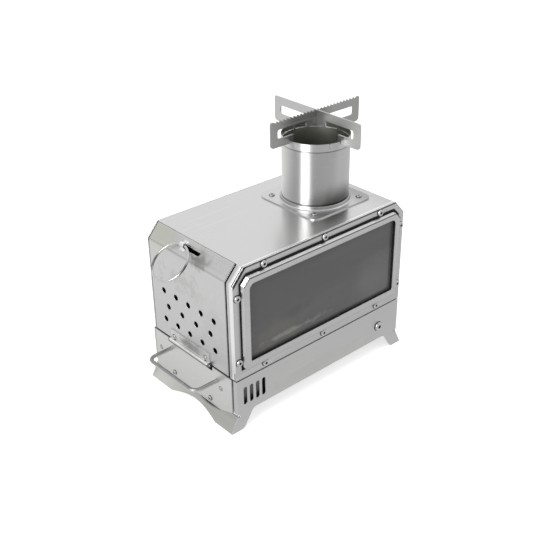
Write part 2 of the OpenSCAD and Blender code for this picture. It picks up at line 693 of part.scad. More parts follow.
// Front and rear panels of the base: one outline with slanted feet and a flat arch
function base_outline(top) =
    let (x1 = end_x + foot_flare, s = x1 - foot_sole, e = s - foot_slope)
    concat([[-end_x, top], [-end_x, foot_top + 1.5], [-end_x + 1, foot_top], [-x1, 0]],
           corner_arc([-x1, 0], [-s, 0], [-e, skirt_z], 6),
           corner_arc([-s, 0], [-e, skirt_z], [0, skirt_z], 6),
           corner_arc([0, skirt_z], [e, skirt_z], [s, 0], 6),
           corner_arc([e, skirt_z], [s, 0], [x1, 0], 6),
           [[x1, 0], [end_x - 1, foot_top], [end_x, foot_top + 1.5], [end_x, top]]);
module base_plate(y0, y1) along_y(y0, y1) difference() {
    polygon(base_outline(seam_z));
    for (s = [-1, 1]) translate([s * (end_x - relief_r), foot_top + 0.8]) circle(r = relief_r);
}
module base_front_panel() color("silver") placed() difference() {
    union() {
        base_plate(front_y, in_front);
        translate([-end_x, in_front, foot_top + 3.2])
            cube([sheet_t, drawer_jamb, seam_z - foot_top - 3.2]);
    }
    for (i = [0:base_vents - 1])
        translate([-end_x + base_vent_x + i * base_vent_pitch, front_y - 5, base_vent_z])
            vent_cutter();
    drill_y(end_x - base_screw_x, base_screw_z, shank_r + hole_play);
}
// Upright slot with round ends, cut along Y
module vent_cutter() {
    r = base_vent_w / 2;
    for (z = [r, base_vent_h - r]) translate([0, 0, z]) rotate([-90, 0, 0]) cylinder(r = r, h = 12);
    translate([-r, 0, r]) cube([2 * r, 12, base_vent_h - 2 * r]);
}
module base_rear_panel() color("silver") placed() base_plate(in_rear, rear_y);
// Low arch under an end sheet, as an outline in Y and Z
function arch_points() = [for (i = [-12:12])
    let (y = i / 12 * arch_w / 2 - 4) [y, arch_h * cos(i / 12 * 90)]];
module arch_cutter(x0, x1) along_x(x0, x1)
    polygon(concat([[-4 - arch_w / 2, -5]], arch_points(), [[-4 + arch_w / 2, -5]]));
module base_right_end() color("silver") placed() difference() {
    sheet([[end_x, seam_z], [end_x, bend_z], foot_end(end_x, 1)], -sheet_t, in_front, in_rear);
    arch_cutter(end_x - 10, end_x + foot_flare + 10);
    below_floor();
}
// Where a foot's slanted sheet would end, a little below the floor
function foot_end(x, side) = [x + side * (foot_flare - 0.2) * (bend_z + 3) / bend_z, -3];
module below_floor() translate([-body_l, -base_d, -20]) cube([2 * body_l, 2 * base_d, 20]);
// Sheet below the drawer: gussets beside the drawer front's cut corners, and the feet
module base_left_apron() color("darkgray") placed() difference() {
    sheet([[-end_x, foot_top], [-end_x, bend_z], foot_end(-end_x, -1)], sheet_t, in_front, in_rear);
    below_floor();
    arch_cutter(-end_x - foot_flare - 10, -end_x + 10);
    along_x(-end_x - 1, -end_x + sheet_t + 1) polygon([
        [drawer_y0 - 0.4, foot_top + 5], [drawer_y0 - 0.4, drawer_z + drawer_cut_z - 0.2],
        [drawer_y0 + drawer_cut_y - 0.4, bend_z], [drawer_y1 - drawer_cut_y + 0.4, bend_z],
        [drawer_y1 + 3, drawer_z + drawer_cut_z - 0.2 + 2.6 * gusset_slope],
        [drawer_y1 + 3, foot_top + 5]]);
}
module base_floor() color("darkgray") placed()
    translate([-end_x + sheet_t + 2.2, in_front, floor_z])
        cube([body_l - 2 * sheet_t - 2.2, base_d - 2 * sheet_t, sheet_t]);
module base_screw() color("whitesmoke") placed()
    translate([end_x - base_screw_x, front_y, base_screw_z])
        button_screw(head_r + 1.6, head_h + 0.5, shank_r, sheet_t + nut_h + 0.6);
module base_nut() color("darkgray") placed()
    translate([end_x - base_screw_x, in_front, base_screw_z]) hex_nut(nut_flat, nut_h, shank_r);

// Drawer front with its notch for the hinge, its cut corners and its two slits
module drawer_front() color("gainsboro") placed() difference() {
    along_x(-end_x, -end_x + sheet_t) difference() {
        polygon(rounded([
            [drawer_y0 + drawer_cut_y, drawer_z], [drawer_y1 - drawer_cut_y, drawer_z],
            [drawer_y1, drawer_z + drawer_cut_z], [drawer_y1, seam_z],
            [hinge_y + notch_w / 2, seam_z], [hinge_y + notch_w / 2, seam_z - notch_h],
            [hinge_y - notch_w / 2, seam_z - notch_h], [hinge_y - notch_w / 2, seam_z],
            [drawer_y0, seam_z], [drawer_y0, drawer_z + drawer_cut_z]],
            [2, 2, 2, 1, 0.5, 1, 1, 0.5, 1, 2]));
        for (s = [-1, 1]) translate([drawer_screw_y + s * drawer_screw_pitch / 2 - slit_l / 2, 0])
            square([slit_l, drawer_z + slit_h]);
    }
    for (s = [-1, 1]) {
        translate([-end_x - 5, drawer_screw_y + s * drawer_screw_pitch / 2, drawer_screw_z])
            rotate([0, 90, 0]) cylinder(r = shank_r + hole_play, h = 12, $fn = 24);
        translate([-end_x - 5, handle_y + s * handle_w / 2, handle_z])
            rotate([0, 90, 0]) cylinder(r = handle_wire + hole_play, h = 12, $fn = 24);
        translate([-end_x - 5, tray_rivet_y + s * tray_rivet_pitch / 2, tray_rivet_z])
            rotate([0, 90, 0]) cylinder(r = tray_rivet_r / 2 + hole_play, h = 12, $fn = 24);
    }
}
// Open tray whose front wall has a lip turned down behind the drawer front
module ash_tray() color("gray") placed() difference() {
    union() {
        translate([tray_x0, tray_y0, tray_z]) cube([tray_l, tray_y1 - tray_y0, tray_h]);
        translate([tray_x0, lip_y0, tray_z - tray_lip]) cube([tray_t, lip_y1 - lip_y0, tray_lip + 1]);
    }
    translate([tray_x0 + tray_t, tray_y0 + tray_t, tray_z + tray_t])
        cube([tray_l - 2 * tray_t, tray_y1 - tray_y0 - 2 * tray_t, tray_h]);
    for (s = [-1, 1]) {
        translate([tray_x0 - 1, drawer_screw_y + s * drawer_screw_pitch / 2, drawer_screw_z])
            rotate([0, 90, 0]) cylinder(r = shank_r + hole_play, h = 4, $fn = 24);
        translate([tray_x0 - 1, handle_y + s * handle_w / 2, handle_z])
            rotate([0, 90, 0]) cylinder(r = handle_wire + hole_play, h = 4, $fn = 24);
        translate([tray_x0 - 1, tray_rivet_y + s * tray_rivet_pitch / 2, tray_rivet_z])
            rotate([0, 90, 0]) cylinder(r = tray_rivet_r / 2 + hole_play, h = 4, $fn = 24);
    }
}
module tray_rivets() color("whitesmoke") placed() for (s = [-1, 1])
    translate([-end_x, tray_rivet_y + s * tray_rivet_pitch / 2, tray_rivet_z]) rotate([0, 90, 0]) {
        translate([0, 0, -0.7]) cylinder(r1 = tray_rivet_r * 0.8, r2 = tray_rivet_r, h = 0.7, $fn = 32);
        cylinder(r = tray_rivet_r / 2, h = sheet_t + tray_t + 0.6, $fn = 24);
        translate([0, 0, sheet_t + tray_t]) cylinder(r = tray_rivet_r * 0.8, h = 0.6, $fn = 32);
    }
// Bent wire pull: two legs through the drawer front, joined by a bar with round corners
module drawer_handle() color("lightgray") placed() {
    x0 = -end_x - handle_reach;
    leg = handle_reach - handle_bend + sheet_t + tray_t + 2.4;
    for (s = [-1, 1]) {
        translate([x0 + handle_bend, handle_y + s * handle_w / 2, handle_z])
            rotate([0, 90, 0]) cylinder(r = handle_wire, h = leg, $fn = 24);
        translate([x0 + handle_bend, handle_y + s * (handle_w / 2 - handle_bend), handle_z])
            rotate([0, 0, s > 0 ? 90 : 180]) rotate_extrude(angle = 90, $fn = 48)
                translate([handle_bend, 0]) circle(r = handle_wire, $fn = 24);
    }
    translate([x0, handle_y - handle_w / 2 + handle_bend, handle_z]) rotate([-90, 0, 0])
        cylinder(r = handle_wire, h = handle_w - 2 * handle_bend, $fn = 24);
}
module handle_clips() color("dimgray") placed() for (s = [-1, 1])
    translate([tray_x0 + tray_t, handle_y + s * handle_w / 2, handle_z]) rotate([0, 90, 0])
        difference() {
            cylinder(r = handle_wire + 2.4, h = 1.2);
            translate([0, 0, -1]) cylinder(r = handle_wire, h = 4, $fn = 24);
        }
module drawer_screws() color("whitesmoke") placed() for (s = [-1, 1])
    translate([-end_x, drawer_screw_y + s * drawer_screw_pitch / 2, drawer_screw_z])
        rotate([0, 0, -90]) button_screw(head_r * 0.72, 1.5, shank_r, sheet_t + tray_t + 1.6);
module drawer_nuts() color("darkgray") placed() for (s = [-1, 1])
    translate([tray_x0 + tray_t, drawer_screw_y + s * drawer_screw_pitch / 2, drawer_screw_z])
        rotate([0, 0, -90]) difference() {
            rotate([-90, 0, 0]) cylinder(r = 2.4, h = 1.2, $fn = 24);
            rotate([-90, 0, 0]) translate([0, 0, -1]) cylinder(r = shank_r, h = 4, $fn = 24);
        }

// Square flange plate with a rolled collar round the pipe
module flue_flange() color("gainsboro") placed() translate([flue_x, flue_y, body_h]) difference() {
    union() {
        linear_extrude(height = flange_t) polygon(rounded(
            box_points(-flange_w / 2, -flange_w / 2, flange_w / 2, flange_w / 2),
            [flange_corner, flange_corner, flange_corner, flange_corner]));
        rotate_extrude($fn = 96) polygon(concat(
            [[flue_r + hole_play, 0], [flue_r + collar_t + 1.6, 0], [flue_r + collar_t + 1.6, flange_t]],
            [for (i = [0:4]) [flue_r + collar_t + 1.6 - 1.6 * sin(i * 22.5),
                              flange_t + 1.6 - 1.6 * cos(i * 22.5)]],
            [for (i = [0:4]) [flue_r + collar_t - 0.8 + 0.8 * cos(i * 22.5),
                              flange_t + collar_h - 0.8 + 0.8 * sin(i * 22.5)]],
            [[flue_r + hole_play, flange_t + collar_h]]));
    }
    translate([0, 0, -1]) cylinder(r = flue_r + hole_play, h = 20, $fn = 96);
    for (a = [-1, 1]) for (b = [-1, 1])
        translate([a * flange_pitch / 2, b * flange_pitch / 2, -1])
            cylinder(r = shank_r + hole_play, h = 5, $fn = 24);
}
module flange_screws() color("whitesmoke") placed() for (a = [-1, 1]) for (b = [-1, 1])
    translate([flue_x + a * flange_pitch / 2, flue_y + b * flange_pitch / 2, flange_z])
        rotate([-90, 0, 0]) button_screw(head_r * 0.8, 1.5, shank_r, flange_t + sheet_t + nut_h + 0.6);
module flange_nuts() color("darkgray") placed() for (a = [-1, 1]) for (b = [-1, 1])
    translate([flue_x + a * flange_pitch / 2, flue_y + b * flange_pitch / 2, under_top])
        rotate([-90, 0, 0]) hex_nut(nut_flat, nut_h, shank_r);
module flue_pipe() color("lightgray") placed()
    translate([flue_x, flue_y, under_top - spigot]) difference() {
        cylinder(r = flue_r, h = rim_z - rim_step - under_top + spigot, $fn = 96);
        translate([0, 0, -1]) cylinder(r = flue_in, h = rim_z, $fn = 96);
    }
// Band pressed round the rim, with an open butt joint
module rim_band() color("gainsboro") placed()
    translate([flue_x, flue_y, rim_z - band_h]) difference() {
        cylinder(r = flue_r + band_t, h = band_h, $fn = 96);
        translate([0, 0, -1]) cylinder(r = flue_r, h = band_h + 2, $fn = 96);
        rotate([0, 0, band_turn]) translate([flue_r - 2, -band_joint / 2, -1])
            cube([8, band_joint, band_h + 2]);
    }

// One pot stand plate, drawn along X about the flue's axis, at its real height:
// a bar with a post at each end, whose arm lies on the rim and hooks into the flue
module stand_profile(teeth) difference() {
    low = stand_z - stand_end;
    half = stand_l / 2;
    in_r = flue_in - stand_play;
    out_r = flue_r + band_t + stand_play;
    seat = rim_z + stand_play;
    hook = rim_z - stand_drop;
    arm = low + stand_arm;
    bar = stand_z - stand_bar;
    side = [[stand_web, stand_z - stand_mid], [stand_web, bar], [half - stand_post, bar],
            [half - stand_post, arm], [stand_tip, arm], [stand_tip, hook], [in_r, hook],
            [in_r, seat], [out_r, seat], [out_r, low], [half, low], [half, stand_z]];
    bends = [1, 2, 2.5, 2.5, 1.2, 0.6, 0.6, 0.3, 0.3, 1, 4, 1.5];
    polygon(rounded(concat(side, [for (p = reversed(side)) [-p[0], p[1]]]),
                    concat(bends, reversed(bends))));
    if (teeth) {
        pitch = (stand_l - 8) / stand_teeth;
        for (i = [0:stand_teeth - 1])
            translate([-half + 4 + i * pitch, stand_z]) polygon([
                [0.18 * pitch, 0.5], [0.18 * pitch, 0], [0.42 * pitch, -tooth_h],
                [0.76 * pitch, -tooth_h], [pitch, 0], [pitch, 0.5]]);
    }
}
cross_mid = stand_z - stand_mid / 2;
module stand_place() translate([flue_x, flue_y, 0]) rotate([0, 0, stand_turn]) children();
module stand_plate_toothed() color("darkgray") placed() stand_place() difference() {
    along_y(-stand_t / 2, stand_t / 2) stand_profile(true);
    translate([-stand_t / 2 - cross_play, -5, 0]) cube([stand_t + 2 * cross_play, 10, cross_mid + cross_play]);
}
module stand_plate_plain() color("silver") placed() stand_place() difference() {
    rotate([0, 0, 90]) along_y(-stand_t / 2, stand_t / 2) stand_profile(false);
    translate([-5, -stand_t / 2 - cross_play, cross_mid])
        cube([10, stand_t + 2 * cross_play, stand_mid]);
}

firebox_shell();
front_panel();
rear_panel();
window_frame();
glass_gasket();
window_glass();
window_retainer();
window_screws();
window_nuts();
deck_plate();
fire_grate();
frame_seal();
feed_door();
hinge_leaf();
leaf_rivets();
hinge_bracket();
hinge_pin();
ring_lug();
pull_ring();
base_front_panel();
base_rear_panel();
base_right_end();
base_left_apron();
base_floor();
base_screw();
base_nut();
drawer_front();
ash_tray();
tray_rivets();
drawer_handle();
handle_clips();
drawer_screws();
drawer_nuts();
flue_flange();
flange_screws();
flange_nuts();
flue_pipe();
rim_band();
stand_plate_toothed();
stand_plate_plain();
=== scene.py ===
import json
import math

import bmesh
import bpy
import numpy as np
from mathutils import Matrix, Vector


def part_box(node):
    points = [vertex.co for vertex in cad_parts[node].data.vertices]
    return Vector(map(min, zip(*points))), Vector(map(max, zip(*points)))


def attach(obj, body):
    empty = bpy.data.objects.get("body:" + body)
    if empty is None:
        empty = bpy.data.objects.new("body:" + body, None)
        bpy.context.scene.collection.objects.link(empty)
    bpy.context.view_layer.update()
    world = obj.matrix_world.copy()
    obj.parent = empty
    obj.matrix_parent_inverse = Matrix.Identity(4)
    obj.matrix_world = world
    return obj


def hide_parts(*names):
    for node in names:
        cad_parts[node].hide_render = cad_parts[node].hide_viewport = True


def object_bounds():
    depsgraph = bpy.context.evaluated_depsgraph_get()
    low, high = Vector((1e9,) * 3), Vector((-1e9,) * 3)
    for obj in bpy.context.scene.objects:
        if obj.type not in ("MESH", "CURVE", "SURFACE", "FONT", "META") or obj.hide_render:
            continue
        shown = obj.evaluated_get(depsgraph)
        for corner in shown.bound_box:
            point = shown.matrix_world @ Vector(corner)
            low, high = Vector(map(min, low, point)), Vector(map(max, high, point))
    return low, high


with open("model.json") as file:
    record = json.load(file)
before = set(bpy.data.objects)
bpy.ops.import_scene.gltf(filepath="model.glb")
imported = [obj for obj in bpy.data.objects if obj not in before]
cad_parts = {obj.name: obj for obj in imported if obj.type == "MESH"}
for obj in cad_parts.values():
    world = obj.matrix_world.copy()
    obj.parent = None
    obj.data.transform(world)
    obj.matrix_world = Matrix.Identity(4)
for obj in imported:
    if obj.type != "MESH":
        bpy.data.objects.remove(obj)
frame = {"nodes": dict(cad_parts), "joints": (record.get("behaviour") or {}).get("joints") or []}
cadLow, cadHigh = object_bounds()
mm = 0.001

# where the photo was taken from: angles in degrees, target and distance in metres, lens and sensor in
# millimetres
viewpoint = {
    "azimuth": -41.76,
    "elevation": 29.80,
    "roll": -0.56,
    "target": (0.01003, -0.00139, 0.10300),
    "distance": 0.95341,
    "lens": 57.284,
    "sensor": 36.0,
}


# back from the target by the distance, against the direction of azimuth and elevation, leaning by roll
def placeCamera():
    az, el, roll = (math.radians(viewpoint[k]) for k in ("azimuth", "elevation", "roll"))
    forward = Vector((-math.sin(az) * math.cos(el), math.cos(az) * math.cos(el), -math.sin(el)))
    level = Vector((math.cos(az), math.sin(az), 0.0))
    upright = level.cross(forward)
    right = level * math.cos(roll) + upright * math.sin(roll)
    up = -level * math.sin(roll) + upright * math.cos(roll)
    place = Vector(viewpoint["target"]) - forward * viewpoint["distance"]
    data = bpy.data.cameras.new("photoCamera")
    data.lens = viewpoint["lens"]
    data.sensor_width = viewpoint["sensor"]
    data.sensor_height = viewpoint["sensor"]
    data.sensor_fit = "HORIZONTAL"
    data.clip_start = 0.01
    camera = bpy.data.objects.new("photoCamera", data)
    turn = Matrix((right, up, -forward)).transposed().to_4x4()
    camera.matrix_world = Matrix.Translation(place) @ turn
    bpy.context.scene.collection.objects.link(camera)
    bpy.context.scene.camera = camera
    print("camera placed")


# a mesh from arrays of points and faces; marks gives each face its material's number
def meshPiece(name, points, faces, marks=None, smooth=True):
    mesh = bpy.data.meshes.new(name)
    mesh.from_pydata(np.asarray(points).tolist(), [], [list(map(int, f)) for f in faces])
    mesh.update()
    mesh.polygons.foreach_set("use_smooth", np.full(len(mesh.polygons), smooth))
    if marks is not None:
        mesh.polygons.foreach_set("material_index", np.asarray(marks, dtype=np.int32))
    piece = bpy.data.objects.new(name, mesh)
    bpy.context.scene.collection.objects.link(piece)
    return piece


# quads of a grid of points numbered row by row; a closed way joins its last line to its first
def gridFaces(rows, cols, closeRows=False, closeCols=False, first=0):
    r = np.arange(rows if closeRows else rows - 1)
    c = np.arange(cols if closeCols else cols - 1)
    i, j = np.meshgrid(r, c, indexing="ij")
    i2, j2 = (i + 1) % rows, (j + 1) % cols
    quads = np.stack([i * cols + j, i * cols + j2, i2 * cols + j2, i2 * cols + j], -1)
    return quads.reshape(-1, 4) + first


# each profile point (r, z) goes to (r cos a, r sin a, z) for every angle a
def lathePoints(profile, angles):
    r, z = np.asarray(profile, float).T
    a = np.asarray(angles)[:, None]
    return np.stack([r * np.cos(a), r * np.sin(a), z + 0 * a], -1).reshape(-1, 3)


# points of a flat arc about (cx, cy), angles in degrees
def arcPoints(cx, cy, radius, start, end, count):
    a = np.radians(np.linspace(start, end, count))
    return np.stack([cx + radius * np.cos(a), cy + radius * np.sin(a)], -1)


# a circle square to the path at each of its points; its axes turn along with the path
def tubePoints(path, radius, sides, closed=False):
    path = np.asarray(path, float)
    ahead = np.roll(path, -1, 0) - np.roll(path, 1, 0)
    if not closed:
        ahead[0], ahead[-1] = path[1] - path[0], path[-1] - path[-2]
    ahead /= np.linalg.norm(ahead, axis=1)[:, None]
    normal = np.cross(ahead[0], [0.0, 0.0, 1.0])
    if np.linalg.norm(normal) < 1e-6:  # the path starts upright
        normal = np.array([0.0, 1.0, 0.0])
    normals = []
    for way in ahead:
        normal = normal - way * (normal @ way)
        normal /= np.linalg.norm(normal)
        normals.append(normal)
    normals = np.array(normals)
    side = np.cross(ahead, normals)
    a = np.linspace(0, 2 * math.pi, sides, endpoint=False)[None, :, None]
    ring = np.cos(a) * normals[:, None] + np.sin(a) * side[:, None]
    return (path[:, None] + radius * ring).reshape(-1, 3)


mergeWithin = 1e-7  # metres


# doubles merged, every face turned outward, and edges sharp where they turn by more than the angle
def finishMesh(piece, degrees):
    work = bmesh.new()
    work.from_mesh(piece.data)
    bmesh.ops.remove_doubles(work, verts=work.verts, dist=mergeWithin)
    bmesh.ops.recalc_face_normals(work, faces=work.faces)
    limit = math.radians(degrees)
    for edge in work.edges:
        edge.smooth = len(edge.link_faces) == 2 and edge.calc_face_angle(0) < limit
    work.to_mesh(piece.data)
    work.free()
    return piece


# an empty node group with its input and output sockets
def newGroup(name, inputs, outputs):
    group = bpy.data.node_groups.new(name, "ShaderNodeTree")
    for label, kind, value in inputs:
        socket = group.interface.new_socket(name=label, in_out="INPUT", socket_type=kind)
        if value is not None:
            socket.default_value = value
    for label, kind in outputs:
        group.interface.new_socket(name=label, in_out="OUTPUT", socket_type=kind)
    return group, group.nodes.new("NodeGroupInput"), group.nodes.new("NodeGroupOutput")


# a node with its fields and socket values set, and its inputs linked
def addNode(tree, kind, values=None, links=None):
    node = tree.nodes.new(kind)
    for key, value in (values or {}).items():
        if key in node.inputs:
            node.inputs[key].default_value = value
        else:
            setattr(node, key, value)
    for key, source in (links or {}).items():
        tree.links.new(source, node.inputs[key])
    return node


# a socket takes a fixed number or colour, or a link from another socket
def feed(tree, socket, value):
    if isinstance(value, (int, float, tuple)):
        socket.default_value = value
    else:
        tree.links.new(value, socket)


def mathNode(tree, operation, first, second=None, clamp=False):
    node = addNode(tree, "ShaderNodeMath", {"operation": operation, "use_clamp": clamp})
    feed(tree, node.inputs[0], first)
    if second is not None:
        feed(tree, node.inputs[1], second)
    return node.outputs[0]


def vectorNode(tree, operation, first, second):
    node = addNode(tree, "ShaderNodeVectorMath", {"operation": operation})
    feed(tree, node.inputs[0], first)
    feed(tree, node.inputs[1], second)
    return node


# first blended towards second by factor; each may be a socket or a fixed colour
def mixColour(tree, factor, first, second):
    node = addNode(tree, "ShaderNodeMix", {"data_type": "RGBA"})
    feed(tree, node.inputs[0], factor)
    feed(tree, node.inputs[6], first)
    feed(tree, node.inputs[7], second)
    return node.outputs[2]


# low to high becomes toLow to toHigh, and what lies past either end stays there
def rangeNode(tree, value, low, high, toLow=0.0, toHigh=1.0):
    return addNode(tree, "ShaderNodeMapRange", {"From Min": low, "From Max": high, "To Min": toLow,
                                                "To Max": toHigh}, {"Value": value}).outputs[0]


# scales of the noises, and how much the fine lines count beside the broad ones
brushLook = {"fine": 1.0, "broad": 0.24, "fineShare": 0.6, "cloud": 16.0}


# fine and broad parallel lines: noise squeezed by the Squeeze vector, small where the lines run
def buildBrushing():
    group, ins, outs = newGroup(
        "brushing",
        [("Vector", "NodeSocketVector", None), ("Squeeze", "NodeSocketVector", (14.0, 1500.0, 1500.0))],
        [("Lines", "NodeSocketFloat"), ("Clouds", "NodeSocketFloat")])
    near = vectorNode(group, "MULTIPLY", ins.outputs["Vector"], ins.outputs["Squeeze"])
    fine = addNode(group, "ShaderNodeTexNoise",
                   {"Scale": brushLook["fine"], "Detail": 2.0, "Roughness": 0.6},
                   {"Vector": near.outputs[0]})
    broad = addNode(group, "ShaderNodeTexNoise", {"Scale": brushLook["broad"], "Detail": 2.0},
                    {"Vector": near.outputs[0]})
    cloud = addNode(group, "ShaderNodeTexNoise",
                    {"Scale": brushLook["cloud"], "Detail": 3.0, "Roughness": 0.55},
                    {"Vector": ins.outputs["Vector"]})
    share = brushLook["fineShare"]
    lines = mathNode(group, "ADD", mathNode(group, "MULTIPLY", fine.outputs["Fac"], share),
                     mathNode(group, "MULTIPLY", broad.outputs["Fac"], 1.0 - share))
    group.links.new(lines, outs.inputs["Lines"])
    group.links.new(cloud.outputs["Fac"], outs.inputs["Clouds"])
    return group


# a face looks along Y where its normal's Y part is over this
edgeLook = {"samples": 6, "frontFacing": 0.7}


# a rounded normal near edges, and a mask that is 1 on the edge and 0 on the flat;
# Front is 1 on faces that look along Y, and the others lean over by the Lean vector, as pressed walls do,
# everywhere at Hem 0 and only beside their edges at Hem 1
def buildEdges():
    group, ins, outs = newGroup(
        "edges",
        [("Radius", "NodeSocketFloat", 0.0005), ("Gain", "NodeSocketFloat", 3.0),
         ("Lean", "NodeSocketVector", (0.0, 0.0, 0.0)), ("Hem", "NodeSocketFloat", 0.0)],
        [("Normal", "NodeSocketVector"), ("Edge", "NodeSocketFloat"), ("Front", "NodeSocketFloat")])
    bevel = addNode(group, "ShaderNodeBevel", {"samples": edgeLook["samples"]},
                    {"Radius": ins.outputs["Radius"]})
    flat = addNode(group, "ShaderNodeNewGeometry")
    dot = vectorNode(group, "DOT_PRODUCT", bevel.outputs["Normal"], flat.outputs["True Normal"])
    turned = mathNode(group, "SUBTRACT", 1.0, mathNode(group, "ABSOLUTE", dot.outputs["Value"]))
    mask = mathNode(group, "MULTIPLY", turned, ins.outputs["Gain"], clamp=True)
    split = addNode(group, "ShaderNodeSeparateXYZ", None, {0: flat.outputs["True Normal"]})
    front = mathNode(group, "GREATER_THAN", mathNode(group, "ABSOLUTE", split.outputs["Y"]),
                     edgeLook["frontFacing"])
    hem = mathNode(group, "MULTIPLY", ins.outputs["Hem"], mathNode(group, "SUBTRACT", 1.0, mask))
    side = mathNode(group, "MULTIPLY", mathNode(group, "SUBTRACT", 1.0, front),
                    mathNode(group, "SUBTRACT", 1.0, hem))
    tip = addNode(group, "ShaderNodeVectorMath", {"operation": "SCALE"},
                  {0: ins.outputs["Lean"], "Scale": side})
    leaned = vectorNode(group, "ADD", bevel.outputs["Normal"], tip.outputs[0])
    even = addNode(group, "ShaderNodeVectorMath", {"operation": "NORMALIZE"}, {0: leaned.outputs[0]})
    group.links.new(even.outputs[0], outs.inputs["Normal"])
    group.links.new(mask, outs.inputs["Edge"])
    group.links.new(front, outs.inputs["Front"])
    return group


# patches and scratches show between these two levels of their noise
smudgeLook = {"patch": 9.0, "patchLevels": (0.52, 0.72), "scratchTurn": (0.5, 0.9, 0.35),
              "scratchScale": (9.0, 260.0, 260.0), "scratchLevels": (0.735, 0.76)}


# handling marks: large soft patches and a few thin scratches, both as masks
def buildSmudges():
    group, ins, outs = newGroup(
        "smudges",
        [("Vector", "NodeSocketVector", None)],
        [("Patches", "NodeSocketFloat"), ("Scratches", "NodeSocketFloat")])
    soft = addNode(group, "ShaderNodeTexNoise",
                   {"Scale": smudgeLook["patch"], "Detail": 4.0, "Roughness": 0.6, "Distortion": 0.8},
                   {"Vector": ins.outputs["Vector"]})
    tilt = addNode(group, "ShaderNodeMapping",
                   {"Rotation": smudgeLook["scratchTurn"], "Scale": smudgeLook["scratchScale"]},
                   {"Vector": ins.outputs["Vector"]})
    thin = addNode(group, "ShaderNodeTexNoise", {"Scale": 1.0, "Detail": 0.0}, {"Vector": tilt.outputs[0]})
    patches = rangeNode(group, soft.outputs["Fac"], *smudgeLook["patchLevels"])
    scratches = rangeNode(group, thin.outputs["Fac"], *smudgeLook["scratchLevels"])
    group.links.new(patches, outs.inputs["Patches"])
    group.links.new(scratches, outs.inputs["Scratches"])
    return group


# a ragged spot: 1 at Centre, 0 where the distance over Size passes 1, its outline broken by noise,
# which swings about one half
def buildRaggedSpot():
    group, ins, outs = newGroup(
        "raggedSpot",
        [("Vector", "NodeSocketVector", None), ("Centre", "NodeSocketVector", (0.0, 0.0, 0.0)),
         ("Size", "NodeSocketVector", (0.02, 0.02, 0.02)), ("Ragged", "NodeSocketFloat", 0.8),
         ("Speckle", "NodeSocketFloat", 120.0)],
        [("Mask", "NodeSocketFloat")])
    off = vectorNode(group, "SUBTRACT", ins.outputs["Vector"], ins.outputs["Centre"])
    scaled = vectorNode(group, "DIVIDE", off.outputs[0], ins.outputs["Size"])
    far = addNode(group, "ShaderNodeVectorMath", {"operation": "LENGTH"}, {0: scaled.outputs[0]})
    rough = addNode(group, "ShaderNodeTexNoise", {"Detail": 3.0, "Distortion": 0.6},
                    {"Vector": ins.outputs["Vector"], "Scale": ins.outputs["Speckle"]})
    swing = mathNode(group, "MULTIPLY", mathNode(group, "SUBTRACT", rough.outputs["Fac"], 0.5),
                     mathNode(group, "MULTIPLY", ins.outputs["Ragged"], 2.0))
    level = mathNode(group, "ADD", mathNode(group, "SUBTRACT", 1.0, far.outputs["Value"]), swing)
    mask = addNode(group, "ShaderNodeMapRange", {"interpolation_type": "SMOOTHSTEP", "From Min": 0.0,
                                                 "From Max": 0.8}, {"Value": level})
    group.links.new(mask.outputs[0], outs.inputs["Mask"])
    return group


lineEdge = (0.6, 1.1)  # a drawn line is full up to this share of its half width, and gone at that


# a straight line drawn on a sheet: 1 within Half of the plane at Level along the Way
def buildLine():
    group, ins, outs = newGroup(
        "line",
        [("Vector", "NodeSocketVector", None), ("Way", "NodeSocketVector", (0.0, 0.0, 1.0)),
         ("Level", "NodeSocketFloat", 0.0), ("Half", "NodeSocketFloat", 0.001)],
        [("Mask", "NodeSocketFloat")])
    along = vectorNode(group, "DOT_PRODUCT", ins.outputs["Vector"], ins.outputs["Way"])
    past = mathNode(group, "SUBTRACT", along.outputs["Value"], ins.outputs["Level"])
    off = mathNode(group, "ABSOLUTE", past)
    share = mathNode(group, "DIVIDE", off, ins.outputs["Half"])
    group.links.new(rangeNode(group, share, *lineEdge, 1.0, 0.0), outs.inputs["Mask"])
    return group


groups = {"brushing": buildBrushing(), "edges": buildEdges(), "smudges": buildSmudges(),
          "raggedSpot": buildRaggedSpot(), "line": buildLine()}


# a shared group placed in a material with its own values
def useGroup(tree, name, values=None, links=None):
    node = tree.nodes.new("ShaderNodeGroup")
    node.node_tree = groups[name]
    for key, value in (values or {}).items():
        node.inputs[key].default_value = value
    for key, source in (links or {}).items():
        tree.links.new(source, node.inputs[key])
    return node


# a material with one shader, and the coordinates that its patterns follow
def newMaterial(name, values):
    material = bpy.data.materials.new(name)
    material.use_nodes = True
    tree = material.node_tree
    tree.nodes.clear()
    shader = addNode(tree, "ShaderNodeBsdfPrincipled", values)
    addNode(tree, "ShaderNodeOutputMaterial", None, {"Surface": shader.outputs[0]})
    place = addNode(tree, "ShaderNodeTexCoord").outputs["Object"]
    return material, tree, shader, place


# where the brushing of a sheet runs: small numbers lie along its lines
squeezes = {"X": (14.0, 1500.0, 1500.0), "Y": (1500.0, 14.0, 1500.0), "round": (14.0, 14.0, 1500.0)}
axisY, axisZ = (0.0, 1.0, 0.0), (0.0, 0.0, 1.0)
# square to the folded sheet's left slope, and to the window frame's two cut corners
leftSlope, leftCut, rightCut = (-0.7433, 0.0, 0.6690), (-0.7071, 0.0, 0.7071), (0.7071, 0.0, 0.7071)
# painted shadow where the drawer's lower edge meets the apron, one spot that both sheets share
slitShadow = ((-0.1064, -0.0213, 0.0120), (0.010, 0.0200, 0.0032), (0.08, 0.08, 0.08), 1.0, 0.1, 90.0)
